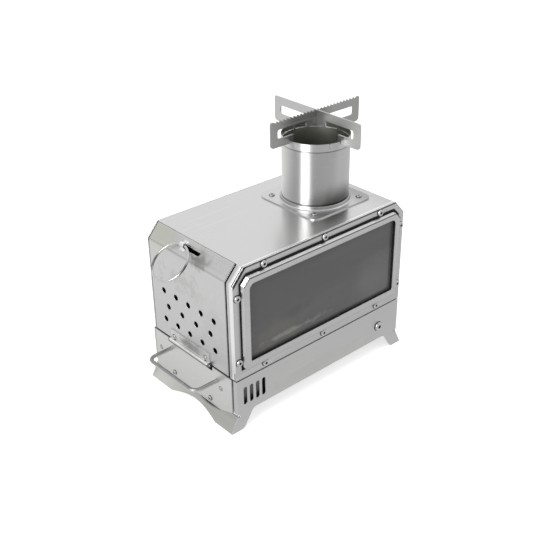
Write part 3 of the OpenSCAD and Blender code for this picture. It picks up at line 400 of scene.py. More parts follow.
# tone is the steel's mean colour: one steel, set lighter or darker from piece to piece as painted light and
# shade, darkest on the foot, the toothed plate and the parts inside; along its brushing, rough its
# roughness, grain how far its lines vary; edge is the rounding of its edges in metres, gain how wide they
# show, and the next two keys the painted highlight along edges and the painted shading along the edges of
# faces that look along Y;
# lean and hem tip a pressed sheet's walls;
# fade (axis, start, end, factor) is painted light and shade, a slow change lighter or darker across the
# piece, the spots are (centre, size, colour factor, strength, ragged, speckle), real patches beside painted
# shade and light, and lines are painted seam shadows and edge highlights, (way, level, half width, on which
# faces, factor)
steels = {
    "shell": {
        "tone": (0.700, 0.700, 0.697), "along": "X", "rough": 0.23, "edge": 1.0 * mm, "edgeHighlight": 1.4,
        # painted shade darker towards the right end, and a painted highlight line along the top's front edge
        "grain": 0.015, "fade": ("X", 0.085, 0.128, 0.80),
        "lines": ((axisY, -0.0637, 1.2 * mm, "other", 1.35),),
    },
    "door": {
        "tone": (0.705, 0.705, 0.702), "along": "Y", "rough": 0.34, "edge": 0.7 * mm, "edgeHighlight": 1.3,
        # painted shade: darker towards the bottom
        "fade": ("Z", 0.150, 0.060, 0.93),
        "stainsAndShade": (
            ((-0.099, 0.055, 0.177), (0.030, 0.034, 0.030), (0.97, 0.98, 0.86), 0.8, 0.3, 60.0),
            ((-0.099, -0.012, 0.176), (0.012, 0.024, 0.010), (0.86, 0.86, 0.85), 0.9, 1.0, 170.0),
            ((-0.106, 0.012, 0.139), (0.020, 0.040, 0.016), (0.84, 0.84, 0.83), 0.8, 1.6, 130.0),
            ((-0.106, -0.035, 0.110), (0.020, 0.030, 0.030), (0.90, 0.90, 0.90), 0.7, 1.6, 90.0),
            # painted shadow of the lug and ring below the slot's right end
            ((-0.103, -0.013, 0.172), (0.012, 0.018, 0.010), (0.48, 0.48, 0.47), 1.0, 0.6, 130.0)),
        # painted shadow in the gap along the door's front edge, and painted shade along the fold and over
        # the sloped top
        "lines": ((axisY, -0.0549, 0.6 * mm, "other", 0.35), (axisZ, 0.1683, 1.3 * mm, "other", 0.84),
                  (axisZ, 0.1768, 8.0 * mm, "other", 0.93)),
    },
    "front": {
        "tone": (0.645, 0.645, 0.642), "along": "X", "rough": 0.32, "edge": 1.8 * mm, "gain": 14.0,
        # painted shade on the face's edges and towards the bottom, painted seam shadows along its sloped and
        # top edges, and a painted highlight on the top return
        "edgeHighlight": 1.35, "frontEdgeShading": 0.80, "lean": (0.0, -0.40, 0.0), "hem": 1.0,
        "fade": ("Z", 0.110, 0.066, 0.90),
        "lines": (
            (leftSlope, 0.1903, 1.8 * mm, "front", 0.08), (axisZ, 0.1826, 1.1 * mm, "front", 0.20),
            (axisY, -0.0635, 3.0 * mm, "other", 1.60)),
    },
    "frame": {
        "tone": (0.650, 0.650, 0.647), "along": "X", "rough": 0.28, "edge": 1.5 * mm, "gain": 14.0,
        # painted shade on the face's edges and towards the bottom, and painted shadow lines where the walls
        # meet the face along the top and the cut corners
        "edgeHighlight": 1.0, "frontEdgeShading": 0.85, "lean": (0.0, -0.45, 0.0), "grain": 0.025,
        "fade": ("Z", 0.110, 0.074, 0.90),
        "lines": (
            (axisZ, 0.1724, 0.8 * mm, "front", 0.20), (leftCut, 0.1853, 0.7 * mm, "front", 0.22),
            (rightCut, 0.2011, 0.7 * mm, "front", 0.30)),
    },
    "base": {
        "tone": (0.610, 0.610, 0.606), "along": "X", "rough": 0.36, "edge": 0.7 * mm, "edgeHighlight": 1.5,
        "stainsAndShade": (
            ((0.000, -0.066, 0.030), (0.120, 0.020, 0.014), (0.92, 0.92, 0.90), 0.6, 1.2, 40.0),),
    },
    "foot": {
        "tone": (0.515, 0.515, 0.493), "along": "Y", "rough": 0.40, "edge": 0.7 * mm, "edgeHighlight": 1.5,
        # painted light brighter towards the back, and the painted slit shadow
        "fade": ("Y", -0.010, 0.050, 1.40), "stainsAndShade": (slitShadow,),
    },
    "drawer": {
        "tone": (0.735, 0.735, 0.727), "along": "Y", "rough": 0.34, "edge": 0.6 * mm, "edgeHighlight": 1.3,
        # painted shade darker towards the bottom, the painted slit shadow, and painted shadow lines along
        # the seams at its top and front edges
        "fade": ("Z", 0.050, 0.020, 0.93), "stainsAndShade": (slitShadow,),
        "lines": ((axisZ, 0.0598, 0.5 * mm, "other", 0.30), (axisY, -0.0591, 0.6 * mm, "other", 0.30)),
    },
    "flange": {
        "tone": (0.690, 0.690, 0.687), "along": "X", "rough": 0.30, "edge": 0.7 * mm, "gain": 8.0,
        # painted shade darker towards the right, and a painted shadow line where the collar meets the pipe
        "edgeHighlight": 0.80, "fade": ("X", 0.072, 0.098, 0.60),
        "lines": ((axisZ, 0.1871, 1.8 * mm, "any", 0.72),),
    },
    "hinge": {
        "tone": (0.720, 0.720, 0.715), "along": "Y", "rough": 0.28, "edge": 0.4 * mm, "edgeHighlight": 1.3,
        # painted shadow below the barrel's middle, a painted highlight along the barrel, and painted shade
        # on the leaf above it
        "fade": ("Z", 0.0624, 0.0614, 0.15), "lines": ((axisZ, 0.0633, 0.7 * mm, "any", 1.38),),
        "stainsAndShade": (((-0.1080, 0.001, 0.0690), (0.010, 0.030, 0.008), (0.52, 0.52, 0.51), 1.0, 0.5, 80.0),),
    },
    # the lug's near-white tone is a painted highlight
    "lug": {"tone": (0.950, 0.950, 0.945), "along": "Y", "rough": 0.24, "edge": 0.4 * mm, "edgeHighlight": 1.05},
    # painted shade: the parts inside are darkened, and the next finish is near black for the deck, the
    # sockets and the rims under heads
    "inner": {"tone": (0.230, 0.230, 0.226), "along": "X", "rough": 0.50, "edge": 0.4 * mm, "edgeHighlight": 1.2},
    "paintedShade": {"tone": (0.060, 0.060, 0.056), "along": "X", "rough": 0.60, "edge": 0.2 * mm, "edgeHighlight": 1.1},
    "flue": {
        "tone": (0.690, 0.690, 0.686), "along": "round", "rough": 0.45, "edge": 0.4 * mm, "edgeHighlight": 1.4,
        "grain": 0.015, "anisotropic": 1.0,
        # painted reflections: dark low on the right and light on the left; a painted highlight on the top
        # band, and painted shadow lines under it and at the pipe's foot
        "stainsAndShade": (
            ((0.060, -0.034, 0.180), (0.050, 0.040, 0.035), (0.16, 0.16, 0.15), 1.0, 0.15, 40.0),
            ((0.032, 0.022, 0.225), (0.036, 0.032, 0.090), (1.36, 1.36, 1.35), 1.0, 0.10, 40.0)),
        "lines": ((axisZ, 0.2515, 4.0 * mm, "any", 1.12), (axisZ, 0.2470, 0.6 * mm, "any", 0.40),
                  (axisZ, 0.1893, 0.8 * mm, "any", 0.40)),
    },
    "flueInside": {
        # painted shade: the pipe's inside is darker
        "tone": (0.330, 0.330, 0.295), "along": "round", "rough": 0.45, "edge": 0.3 * mm, "edgeHighlight": 1.4,
        "grain": 0.03,
    },
    "toothed": {
        # painted shade: darker than the plain plate of the same stand, with a darker patch over its middle
        "tone": (0.430, 0.430, 0.425), "along": "X", "rough": 0.36, "edge": 0.3 * mm, "edgeHighlight": 1.4,
        "stainsAndShade": (
            ((0.048, 0.000, 0.279), (0.044, 0.020, 0.018), (0.50, 0.50, 0.49), 1.0, 0.3, 60.0),),
    },
    "plain": {"tone": (0.620, 0.620, 0.612), "along": "Y", "rough": 0.34, "edge": 0.3 * mm, "edgeHighlight": 1.3},
    "screw": {"tone": (0.620, 0.620, 0.620), "along": "X", "rough": 0.20, "edge": 0.2 * mm, "edgeHighlight": 1.1},
    "dullScrew": {"tone": (0.480, 0.480, 0.475), "along": "X", "rough": 0.35, "edge": 0.2 * mm, "edgeHighlight": 1.1},
    "wire": {
        "tone": (0.660, 0.660, 0.655), "along": "Y", "rough": 0.42, "edge": 0.2 * mm, "edgeHighlight": 1.1,
        # painted shade over the top of the handle's bar
        "fade": ("Z", 0.0464, 0.0478, 0.50),
    },
    "ringWire": {
        "tone": (0.680, 0.680, 0.675), "along": "Y", "rough": 0.26, "edge": 0.2 * mm, "edgeHighlight": 1.1,
        # painted shade on the ring's left side and lower right
        "stainsAndShade": (
            ((-0.123, 0.038, 0.160), (0.020, 0.014, 0.020), (0.25, 0.25, 0.25), 1.0, 0.6, 90.0),
            ((-0.117, -0.007, 0.165), (0.014, 0.010, 0.012), (0.20, 0.20, 0.20), 1.0, 0.6, 90.0)),
    },
}


# what all the steels have in common: a share is how far a mark covers the tone, a factor its brightness;
# finer and coarser say how far the roughness swings with the grain
steelLook = {
    "ior": 2.4, "grain": 0.08, "gain": 3.0, "ringTurn": 0.25,
    "cloudShare": 0.35, "cloudFactor": 0.94, "rimShare": 0.85, "scratchShare": 0.25, "scratchFactor": 1.15,
    "lineLevels": (0.3, 0.7), "finer": 0.7, "coarser": 0.8, "grease": 0.07,
    "bumpPerGrain": 1.5, "bumpDepth": 0.08 * mm,
}


def steelMaterial(name, spec):
    fixed = {"Metallic": 1.0, "IOR": steelLook["ior"]}
    if "anisotropic" in spec:
        fixed["Anisotropic"] = spec["anisotropic"]
        fixed["Anisotropic Rotation"] = steelLook["ringTurn"]
    material, tree, shader, place = newMaterial(name + "Steel", fixed)
    brushing = useGroup(tree, "brushing", {"Squeeze": squeezes[spec["along"]]}, {"Vector": place})
    edges = useGroup(tree, "edges", {"Radius": spec["edge"], "Gain": spec.get("gain", steelLook["gain"]),
                                     "Lean": spec.get("lean", (0.0, 0.0, 0.0)),
                                     "Hem": spec.get("hem", 0.0)})
    smudges = useGroup(tree, "smudges", None, {"Vector": place})
    tone = np.array(spec["tone"])

    def shade(factor):
        return (*np.clip(tone * factor, 0, 1).tolist(), 1.0)

    grain = spec.get("grain", steelLook["grain"])
    colour = mixColour(tree, brushing.outputs["Lines"], shade(1.0 - grain), shade(1.0 + grain))
    cloudy = mathNode(tree, "MULTIPLY", brushing.outputs["Clouds"], steelLook["cloudShare"])
    colour = mixColour(tree, cloudy, colour, shade(steelLook["cloudFactor"]))
    # painted light and shade: the piece lighter or darker towards one side
    if "fade" in spec:
        axis, start, end, factor = spec["fade"]
        split = addNode(tree, "ShaderNodeSeparateXYZ", None, {0: place})
        along = rangeNode(tree, split.outputs[axis], start, end)
        colour = mixColour(tree, along, colour, shade(factor))
    # painted highlight along the edges, and painted shading along the edges of faces that look along Y
    edgeHighlight = shade(spec["edgeHighlight"])
    frontEdgeShading = shade(spec.get("frontEdgeShading", spec["edgeHighlight"]))
    rim = mixColour(tree, edges.outputs["Front"], edgeHighlight, frontEdgeShading)
    atEdge = mathNode(tree, "MULTIPLY", edges.outputs["Edge"], steelLook["rimShare"])
    colour = mixColour(tree, atEdge, colour, rim)
    # spots of painted shade and light beside real patches
    for centre, size, tint, strength, ragged, speckle in spec.get("stainsAndShade", ()):
        spot = useGroup(tree, "raggedSpot", {"Centre": centre, "Size": size, "Ragged": ragged,
                                        "Speckle": speckle}, {"Vector": place})
        amount = mathNode(tree, "MULTIPLY", spot.outputs["Mask"], strength)
        colour = mixColour(tree, amount, colour, shade(np.array(tint)))
    scratched = mathNode(tree, "MULTIPLY", smudges.outputs["Scratches"], steelLook["scratchShare"])
    colour = mixColour(tree, scratched, colour, shade(steelLook["scratchFactor"]))
    other = mathNode(tree, "SUBTRACT", 1.0, edges.outputs["Front"])
    # painted seam shadows and edge highlights, drawn as lines
    for way, level, half, faces, factor in spec.get("lines", ()):
        drawn = useGroup(tree, "line", {"Way": way, "Level": level, "Half": half}, {"Vector": place})
        side = {"front": edges.outputs["Front"], "other": other, "any": 1.0}[faces]
        scaled = addNode(tree, "ShaderNodeVectorMath", {"operation": "SCALE", "Scale": factor},
                         {0: colour})
        amount = mathNode(tree, "MULTIPLY", drawn.outputs["Mask"], side)
        colour = mixColour(tree, amount, colour, scaled.outputs[0])
    tree.links.new(colour, shader.inputs["Base Color"])
    finest = spec["rough"] - steelLook["finer"] * grain
    coarsest = spec["rough"] + steelLook["coarser"] * grain
    rough = rangeNode(tree, brushing.outputs["Lines"], *steelLook["lineLevels"], finest, coarsest)
    greasy = mathNode(tree, "MULTIPLY", smudges.outputs["Patches"], steelLook["grease"])
    tree.links.new(mathNode(tree, "ADD", rough, greasy), shader.inputs["Roughness"])
    bump = addNode(tree, "ShaderNodeBump", {"Strength": steelLook["bumpPerGrain"] * grain,
                                            "Distance": steelLook["bumpDepth"]},
                   {"Height": brushing.outputs["Lines"], "Normal": edges.outputs["Normal"]})
    tree.links.new(bump.outputs[0], shader.inputs["Normal"])
    if "anisotropic" in spec:
        ring = addNode(tree, "ShaderNodeTangent", {"direction_type": "RADIAL", "axis": "Z"})
        tree.links.new(ring.outputs[0], shader.inputs["Tangent"])
    return material


# marks (centre, size, colour, strength, ragged, speckle); the first is a painted reflection, a lighter patch
# right of the middle
glassLook = {
    "tint": (0.108, 0.108, 0.108), "haze": (0.20, 0.20, 0.20), "clear": 0.25,
    "rough": 0.07, "hazeRough": 0.30, "patches": 0.25,
    "streaks": 0.22, "streakTurn": (0.0, -0.45, 0.0), "streakScale": (5.0, 5.0, 34.0),
    "streakLevels": (0.56, 0.78),
    "marks": (
        ((0.090, -0.064, 0.104), (0.052, 0.020, 0.042), (0.165, 0.165, 0.165), 0.8, 0.3, 30.0),
        ((-0.050, -0.064, 0.096), (0.044, 0.020, 0.022), (0.148, 0.142, 0.122), 0.8, 0.7, 60.0),
        ((-0.035, -0.064, 0.0905), (0.058, 0.020, 0.0036), (0.250, 0.250, 0.240), 0.9, 1.0, 110.0),
        ((-0.030, -0.064, 0.112), (0.026, 0.020, 0.009), (0.090, 0.090, 0.090), 0.8, 0.9, 70.0)),
}


# dark glass that lets a quarter of the light through, with streaks where it was wiped
def glassMaterial():
    material, tree, shader, place = newMaterial(
        "darkGlass", {"Metallic": 0.0, "IOR": 1.5, "Transmission Weight": glassLook["clear"]})
    smudges = useGroup(tree, "smudges", None, {"Vector": place})
    tilt = addNode(tree, "ShaderNodeMapping",
                   {"Rotation": glassLook["streakTurn"], "Scale": glassLook["streakScale"]},
                   {"Vector": place})
    streak = addNode(tree, "ShaderNodeTexNoise", {"Scale": 1.0, "Detail": 2.0}, {"Vector": tilt.outputs[0]})
    wiped = rangeNode(tree, streak.outputs["Fac"], *glassLook["streakLevels"])
    wiped = mathNode(tree, "MULTIPLY", wiped, glassLook["streaks"])
    touched = mathNode(tree, "MULTIPLY", smudges.outputs["Patches"], glassLook["patches"])
    film = mathNode(tree, "ADD", wiped, touched, clamp=True)
    tint, haze = ((*glassLook[k], 1.0) for k in ("tint", "haze"))
    colour = mixColour(tree, film, tint, haze)
    for centre, size, mark, strength, ragged, speckle in glassLook["marks"]:
        spot = useGroup(tree, "raggedSpot", {"Centre": centre, "Size": size, "Ragged": ragged,
                                        "Speckle": speckle}, {"Vector": place})
        amount = mathNode(tree, "MULTIPLY", spot.outputs["Mask"], strength)
        colour = mixColour(tree, amount, colour, (*mark, 1.0))
    tree.links.new(colour, shader.inputs["Base Color"])
    rough = rangeNode(tree, film, 0.0, 1.0, glassLook["rough"], glassLook["hazeRough"])
    tree.links.new(rough, shader.inputs["Roughness"])
    return material


gasketLook = {"strands": 900.0, "dark": (0.006, 0.006, 0.006, 1.0), "pale": (0.030, 0.030, 0.030, 1.0),
              "rough": (0.75, 0.95), "sheen": 0.06, "depth": 0.2 * mm}


# black woven cord, pressed flat
def gasketMaterial():
    material, tree, shader, place = newMaterial(
        "wovenGasket", {"Metallic": 0.0, "IOR": 1.45, "Specular IOR Level": gasketLook["sheen"]})
    weave = addNode(tree, "ShaderNodeTexVoronoi", {"Scale": gasketLook["strands"]},
                    {"Vector": place}).outputs["Distance"]
    tree.links.new(mixColour(tree, weave, gasketLook["dark"], gasketLook["pale"]),
                   shader.inputs["Base Color"])
    tree.links.new(rangeNode(tree, weave, 0.0, 1.0, *gasketLook["rough"]), shader.inputs["Roughness"])
    bump = addNode(tree, "ShaderNodeBump", {"Strength": 0.5, "Distance": gasketLook["depth"]},
                   {"Height": weave})
    tree.links.new(bump.outputs[0], shader.inputs["Normal"])
    return material


materials = {name: steelMaterial(name, spec) for name, spec in steels.items()}
materials["glass"] = glassMaterial()
materials["gasket"] = gasketMaterial()
print("materials made:", len(materials))

# the finish of each solid that is shown as it is; the deck plate, seen only in the seam above the base, and
# the parts inside take dark finishes as painted shade, and the frame's black seal stands partly for the
# shade in the gap round the raised frame
nodeFinish = {
    "firebox_shell": "shell", "front_panel": "front", "rear_panel": "front", "window_frame": "frame",
    "frame_seal": "gasket", "glass_gasket": "gasket", "window_glass": "glass",
    "window_retainer": "inner", "window_nuts": "inner", "deck_plate": "paintedShade", "fire_grate": "inner",
    "feed_door": "door", "hinge_leaf": "hinge", "hinge_bracket": "inner", "hinge_pin": "screw",
    "ring_lug": "lug", "base_front_panel": "base", "base_rear_panel": "base",
    "base_right_end": "foot", "base_left_apron": "foot", "base_floor": "inner", "base_nut": "inner",
    "drawer_front": "drawer", "ash_tray": "inner", "handle_clips": "inner", "drawer_nuts": "inner",
    "flue_flange": "flange", "flange_nuts": "inner", "stand_plate_toothed": "toothed",
    "stand_plate_plain": "plain",
}


def dressNodes():
    for node, finish in nodeFinish.items():
        piece = frame["nodes"][node]
        piece.data.materials.clear()
        piece.data.materials.append(materials[finish])
    print("nodes dressed:", len(nodeFinish))


# a made piece gets its finishes, the body that it moves with, and the solids that it stands in for
def placePiece(piece, finishes, body, slot, *nodes):
    for finish in finishes:
        piece.data.materials.append(materials[finish])
    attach(piece, body)
    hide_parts(*nodes)
    return piece


# the low and high corners of a solid's box
def span(node):
    low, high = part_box(node)
    return np.array(low), np.array(high)


# angles in degrees
flueSizes = {"wall": 1.0 * mm, "sides": 160, "lipPoints": 9, "wallSteps": 4, "bandRound": 0.3 * mm,
             "bandPoints": 5, "jointAngle": 249.0, "jointWidth": 0.8 * mm, "sharp": 40}


# a closed profile, up the outside, over a rounded edge and down the inside, turned about Z;
# the strips past the lip's points look inwards
def fluePipe():
    low, high = span("flue_pipe")
    centre = (low + high) / 2
    outer = (high[0] - low[0]) / 2
    inner = outer - flueSizes["wall"]
    lip = flueSizes["wall"] / 2
    rim = arcPoints(outer - lip, high[2] - lip, lip, 0, 180, flueSizes["lipPoints"])
    walls = np.linspace(high[2] - lip, low[2], flueSizes["wallSteps"] + 1)[1:]
    profile = np.vstack([[[outer, low[2]]], rim, np.column_stack([np.full(len(walls), inner), walls])])
    angles = np.linspace(0, 2 * math.pi, flueSizes["sides"], endpoint=False)
    points = lathePoints(profile, angles) + [centre[0], centre[1], 0]
    faces = gridFaces(len(angles), len(profile), True, True)
    column = np.arange(len(faces)) % len(profile)
    piece = meshPiece("fluePipe", points, faces, column >= flueSizes["lipPoints"])
    finishMesh(piece, flueSizes["sharp"])
    return placePiece(piece, ("flue", "flueInside"), "stove", "flue_steel", "flue_pipe")


# a rounded strip's profile carried round Z, with a narrow gap where its ends meet
def rimBand():
    low, high = span("rim_band")
    pipeLow, pipeHigh = span("flue_pipe")
    centre = (low + high) / 2
    outer = (high[0] - low[0]) / 2
    inner = (pipeHigh[0] - pipeLow[0]) / 2
    bend = flueSizes["bandRound"]
    profile = np.vstack([
        [[inner, low[2]]],
        arcPoints(outer - bend, low[2] + bend, bend, -90, 0, flueSizes["bandPoints"]),
        arcPoints(outer - bend, high[2] - bend, bend, 0, 90, flueSizes["bandPoints"]),
        [[inner, high[2]]]])
    gap = flueSizes["jointWidth"] / outer
    start = math.radians(flueSizes["jointAngle"])
    angles = np.linspace(start + gap / 2, start + 2 * math.pi - gap / 2, flueSizes["sides"])
    points = lathePoints(profile, angles) + [centre[0], centre[1], 0]
    count = len(profile)
    faces = [list(f) for f in gridFaces(len(angles), count, False, True)]
    faces.append(list(range(count)))
    faces.append(list(range((len(angles) - 1) * count, len(angles) * count)))
    column = np.arange(len(faces)) % count
    inside = (column == count - 1) & (np.arange(len(faces)) < len(faces) - 2)
    piece = finishMesh(meshPiece("rimBand", points, faces, inside), flueSizes["sharp"])
    return placePiece(piece, ("flue", "flueInside"), "stove", "flue_steel", "rim_band")


# ringWire is the wire's radius, handleBend the bend's at the wire's middle; sharp angles in degrees
wireSizes = {"ringWire": 1.1 * mm, "ringSides": 16, "ringSteps": 120, "ringSharp": 60,
             "handleBend": 8.0 * mm, "handleSides": 24, "bendPoints": 14, "legPoints": 7, "handleSharp": 50}


# a circle through the lug, in the plane in which the ring hangs, with a round wire carried along it
def pullRing():
    low, high = span("pull_ring")
    swing = [j for j in frame["joints"] if j["name"] == "ring_swing"][0]
    pivot = np.array(swing["pos_m"])
    wire = wireSizes["ringWire"]
    radius = (high[1] - low[1]) / 2 - wire
    down = (low + high) / 2 - pivot
    down[1] = 0
    down /= np.linalg.norm(down)
    across = np.array([0.0, 1.0, 0.0])
    a = np.linspace(0, 2 * math.pi, wireSizes["ringSteps"], endpoint=False)[:, None]
    path = pivot + radius * down + radius * (np.cos(a) * down + np.sin(a) * across)
    sides = wireSizes["ringSides"]
    piece = meshPiece("pullRing", tubePoints(path, wire, sides, True),
                      gridFaces(len(path), sides, True, True))
    finishMesh(piece, wireSizes["ringSharp"])
    return placePiece(piece, ("ringWire",), "ring", "wire_steel", "pull_ring")


# straight legs and a bar joined by quarter circles, with a round wire carried along them
def drawerHandle():
    low, high = span("drawer_handle")
    wire = (high[2] - low[2]) / 2
    z = (high[2] + low[2]) / 2
    bend = wireSizes["handleBend"]
    x, y0, y1 = low[0] + wire, low[1] + wire, high[1] - wire
    near = arcPoints(x + bend, y0 + bend, bend, -90, -180, wireSizes["bendPoints"])
    far = arcPoints(x + bend, y1 - bend, bend, 180, 90, wireSizes["bendPoints"])
    legs = np.linspace(high[0], x + bend, wireSizes["legPoints"] + 1)[:-1]
    flat = np.vstack([np.stack([legs, np.full(len(legs), y0)], -1), near, far,
                      np.stack([legs[::-1], np.full(len(legs), y1)], -1)])
    path = np.column_stack([flat, np.full(len(flat), z)])
    sides = wireSizes["handleSides"]
    faces = [list(f) for f in gridFaces(len(path), sides, False, True)]
    faces += [list(range(sides)), list(range((len(path) - 1) * sides, len(path) * sides))]
    piece = meshPiece("drawerHandle", tubePoints(path, wire, sides), faces)
    finishMesh(piece, wireSizes["handleSharp"])
    return placePiece(piece, ("wire",), "drawer", "wire_steel", "drawer_handle")


# widths as shares of the head's radius and heights of its height, unless in mm; angles in degrees;
# the dome's radius is foot + swell times the cosine of its angle to the power round;
# socketRings are (share of the hexagon's width, height) from the socket's brim down to its floor
screwShape = {
    "turns": 60, "washerTop": 0.22 * mm, "step": 0.24 * mm, "stepWidth": 0.92,
    "domeAngles": (8, 70), "domePoints": 9, "domeFoot": 0.5, "domeSwell": 0.5, "domeRound": 0.8,
    "domeLow": 0.24, "domeRise": 0.76, "socket": 0.36,
    "socketRings": ((1.12, 0.99), (1.0, 0.93), (0.97, 0.40), (0.4, 0.30), (0.0, 0.28)),
    "spin": 37.0, "sharp": 32,
}


# a button head about Z as one grid of rings: washer, dome, hexagonal socket and shank; a socket ring's
# radius is its apothem over the cosine within each sixth of the turn; the washer and the step above it, and
# the socket's walls and floor, take the dark finish as painted shade under the head and in the socket
def screwPoints(head, height, shank, length, washer):
    form = screwShape
    turns = form["turns"]
    a = np.linspace(0, 2 * math.pi, turns, endpoint=False)
    sixth = math.pi / 3
    hexagon = form["socket"] * head / np.cos((a + sixth / 2) % sixth - sixth / 2)
    wide = head + washer
    rings = [(0 * a, -length), (0 * a + shank, -length), (0 * a + shank, 0.0), (0 * a + wide, 0.0),
             (0 * a + wide, form["washerTop"]), (0 * a + head * form["stepWidth"], form["step"])]
    washerRow = 2
    domeRow = len(rings) - 1
    start, end = form["domeAngles"]
    for t in np.linspace(0, 1, form["domePoints"]):
        dome = math.radians(start + (end - start) * t)
        reach = form["domeFoot"] + form["domeSwell"] * math.cos(dome) ** form["domeRound"]
        rise = form["domeLow"] + form["domeRise"] * math.sin(math.pi / 2 * t)
        rings.append((0 * a + head * reach, height * rise))
    socketRow = len(rings) + 1
    rings += [(hexagon * width, height * level) for width, level in form["socketRings"]]
    grid = [np.stack([r * np.cos(a), r * np.sin(a), z + 0 * a], -1) for r, z in rings]
    row = np.repeat(np.arange(len(rings) - 1), turns)
    dark = ((row >= washerRow) & (row <= domeRow)) | (row >= socketRow)
    return np.vstack(grid), gridFaces(len(rings), turns, False, True), dark


# one mesh of many screws; direction is the way that the heads face
def screwGroup(name, places, direction, sizes, body, node, finish="screw"):
    turn = np.array(Vector(direction).to_track_quat("Z", "Y").to_matrix())
    points, faces, marks, first = [], [], [], 0
    for index, place in enumerate(places):
        shape, quads, dark = screwPoints(**sizes)
        spin = math.radians(screwShape["spin"] * index)
        c, s = math.cos(spin), math.sin(spin)
        shape = shape @ np.array([[c, s, 0], [-s, c, 0], [0, 0, 1]])
        points.append(shape @ turn.T + np.array(place))
        faces.append(quads + first)
        marks.append(dark)
        first += len(shape)
    piece = meshPiece(name, np.vstack(points), np.vstack(faces), np.concatenate(marks))
    finishMesh(piece, screwShape["sharp"])
    return placePiece(piece, (finish, "paintedShade"), body, "screw_steel", node)


# the radii of head and shank, the head's height, the shank's length and the washer's rim past the head
screwSizes = {
    "window": {
        "head": 3.7 * mm, "height": 2.3 * mm, "shank": 1.5 * mm, "length": 6.4 * mm, "washer": 0.5 * mm},
    "base": {
        "head": 5.3 * mm, "height": 2.8 * mm, "shank": 1.5 * mm, "length": 4.2 * mm, "washer": 0.5 * mm},
    "drawer": {
        "head": 2.66 * mm, "height": 1.5 * mm, "shank": 1.5 * mm, "length": 3.6 * mm, "washer": 0.3 * mm},
    "flange": {
        "head": 2.96 * mm, "height": 1.5 * mm, "shank": 1.5 * mm, "length": 5.4 * mm, "washer": 0.3 * mm},
}
# pitch along the top and bottom rows, the lower side screw's height above the bottom row, and the pitch
# up the sides
windowScrewPlaces = {"pitch": 80 * mm, "sideLow": 14.8 * mm, "sidePitch": 71.6 * mm}


# the screws' places come from the boxes of the solids that they stand in for
def allScrews():
    low, high = span("window_screws")
    sizes, w = screwSizes["window"], windowScrewPlaces
    head, face = sizes["head"], low[1] + sizes["height"]
    middle, foot = (low[0] + high[0]) / 2, low[2] + head
    places = [(middle + i * w["pitch"], face, z) for i in (-1, 0, 1) for z in (foot, high[2] - head)]
    places += [(x, face, foot + w["sideLow"] + k * w["sidePitch"])
               for x in (low[0] + head, high[0] - head) for k in (0, 1)]
    screwGroup("windowScrews", places, (0, -1, 0), sizes, "stove", "window_screws")
    low, high = span("base_screw")
    sizes = screwSizes["base"]
    places = [((low[0] + high[0]) / 2, low[1] + sizes["height"], (low[2] + high[2]) / 2)]
    screwGroup("baseScrew", places, (0, -1, 0), sizes, "stove", "base_screw")
    low, high = span("drawer_screws")
    sizes = screwSizes["drawer"]
    head, face = sizes["head"], low[0] + sizes["height"]
    places = [(face, y, (low[2] + high[2]) / 2) for y in (low[1] + head, high[1] - head)]
    screwGroup("drawerScrews", places, (-1, 0, 0), sizes, "drawer", "drawer_screws", "dullScrew")
    low, high = span("flange_screws")
    sizes = screwSizes["flange"]
    head, face = sizes["head"], high[2] - sizes["height"]
    places = [(x, y, face) for x in (low[0] + head, high[0] - head)
              for y in (low[1] + head, high[1] - head)]
    screwGroup("flangeScrews", places, (0, 0, 1), sizes, "stove", "flange_screws", "dullScrew")
    print("screws made")


# radii of head, shank and tail, and the heights of head and tail
rivetSizes = {
    "leaf": {
        "head": 2.7 * mm, "height": 1.2 * mm, "shank": 1.35 * mm, "tail": 2.16 * mm,
        "tailHeight": 0.8 * mm},
    "tray": {
        "head": 2.2 * mm, "height": 0.7 * mm, "shank": 1.1 * mm, "tail": 1.76 * mm,
        "tailHeight": 0.6 * mm},
}
rivetShape = {"turns": 32, "domePoints": 8, "rim": 0.4 * mm, "rimHeight": 0.1 * mm, "sharp": 40}


# a profile turned about X: domed head, a rim at its foot darkened as painted shade, shank, and a flat tail
# on the inside
def rivetGroup(name, node, sizes, body):
    low, high = span(node)
    face = low[0] + sizes["height"]
    reach = high[0] - face
    head = sizes["head"]
    turns, brim = rivetShape["turns"], rivetShape["rimHeight"]
    wide = head + rivetShape["rim"]
    dome = arcPoints(0, 0, 1.0, 0, 90, rivetShape["domePoints"])
    dome = dome * [head, sizes["height"] - brim] + [0, brim]
    inside = reach - sizes["tailHeight"]
    profile = np.vstack([[[0, -reach], [sizes["tail"], -reach], [sizes["tail"], -inside],
                          [sizes["shank"], -inside], [sizes["shank"], 0], [wide, 0], [wide, brim]], dome])
    angles = np.linspace(0, 2 * math.pi, turns, endpoint=False)
    turn = np.array(Vector((-1, 0, 0)).to_track_quat("Z", "Y").to_matrix())
    column = np.tile(np.arange(len(profile) - 1), turns)
    rimFrom, rimTo = 4, 6  # the profile's strips from the shank to the dome
    dark = (column >= rimFrom) & (column <= rimTo)
    points, faces, marks, first = [], [], [], 0
    for y in (low[1] + head, high[1] - head):
        shape = lathePoints(profile, angles) @ turn.T + [face, y, (low[2] + high[2]) / 2]
        points.append(shape)
        faces.append(gridFaces(turns, len(profile), True, False, first))
        marks.append(dark)
        first += len(shape)
    piece = meshPiece(name, np.vstack(points), np.vstack(faces), np.concatenate(marks))
    finishMesh(piece, rivetShape["sharp"])
    return placePiece(piece, ("dullScrew", "paintedShade"), body, "screw_steel", node)


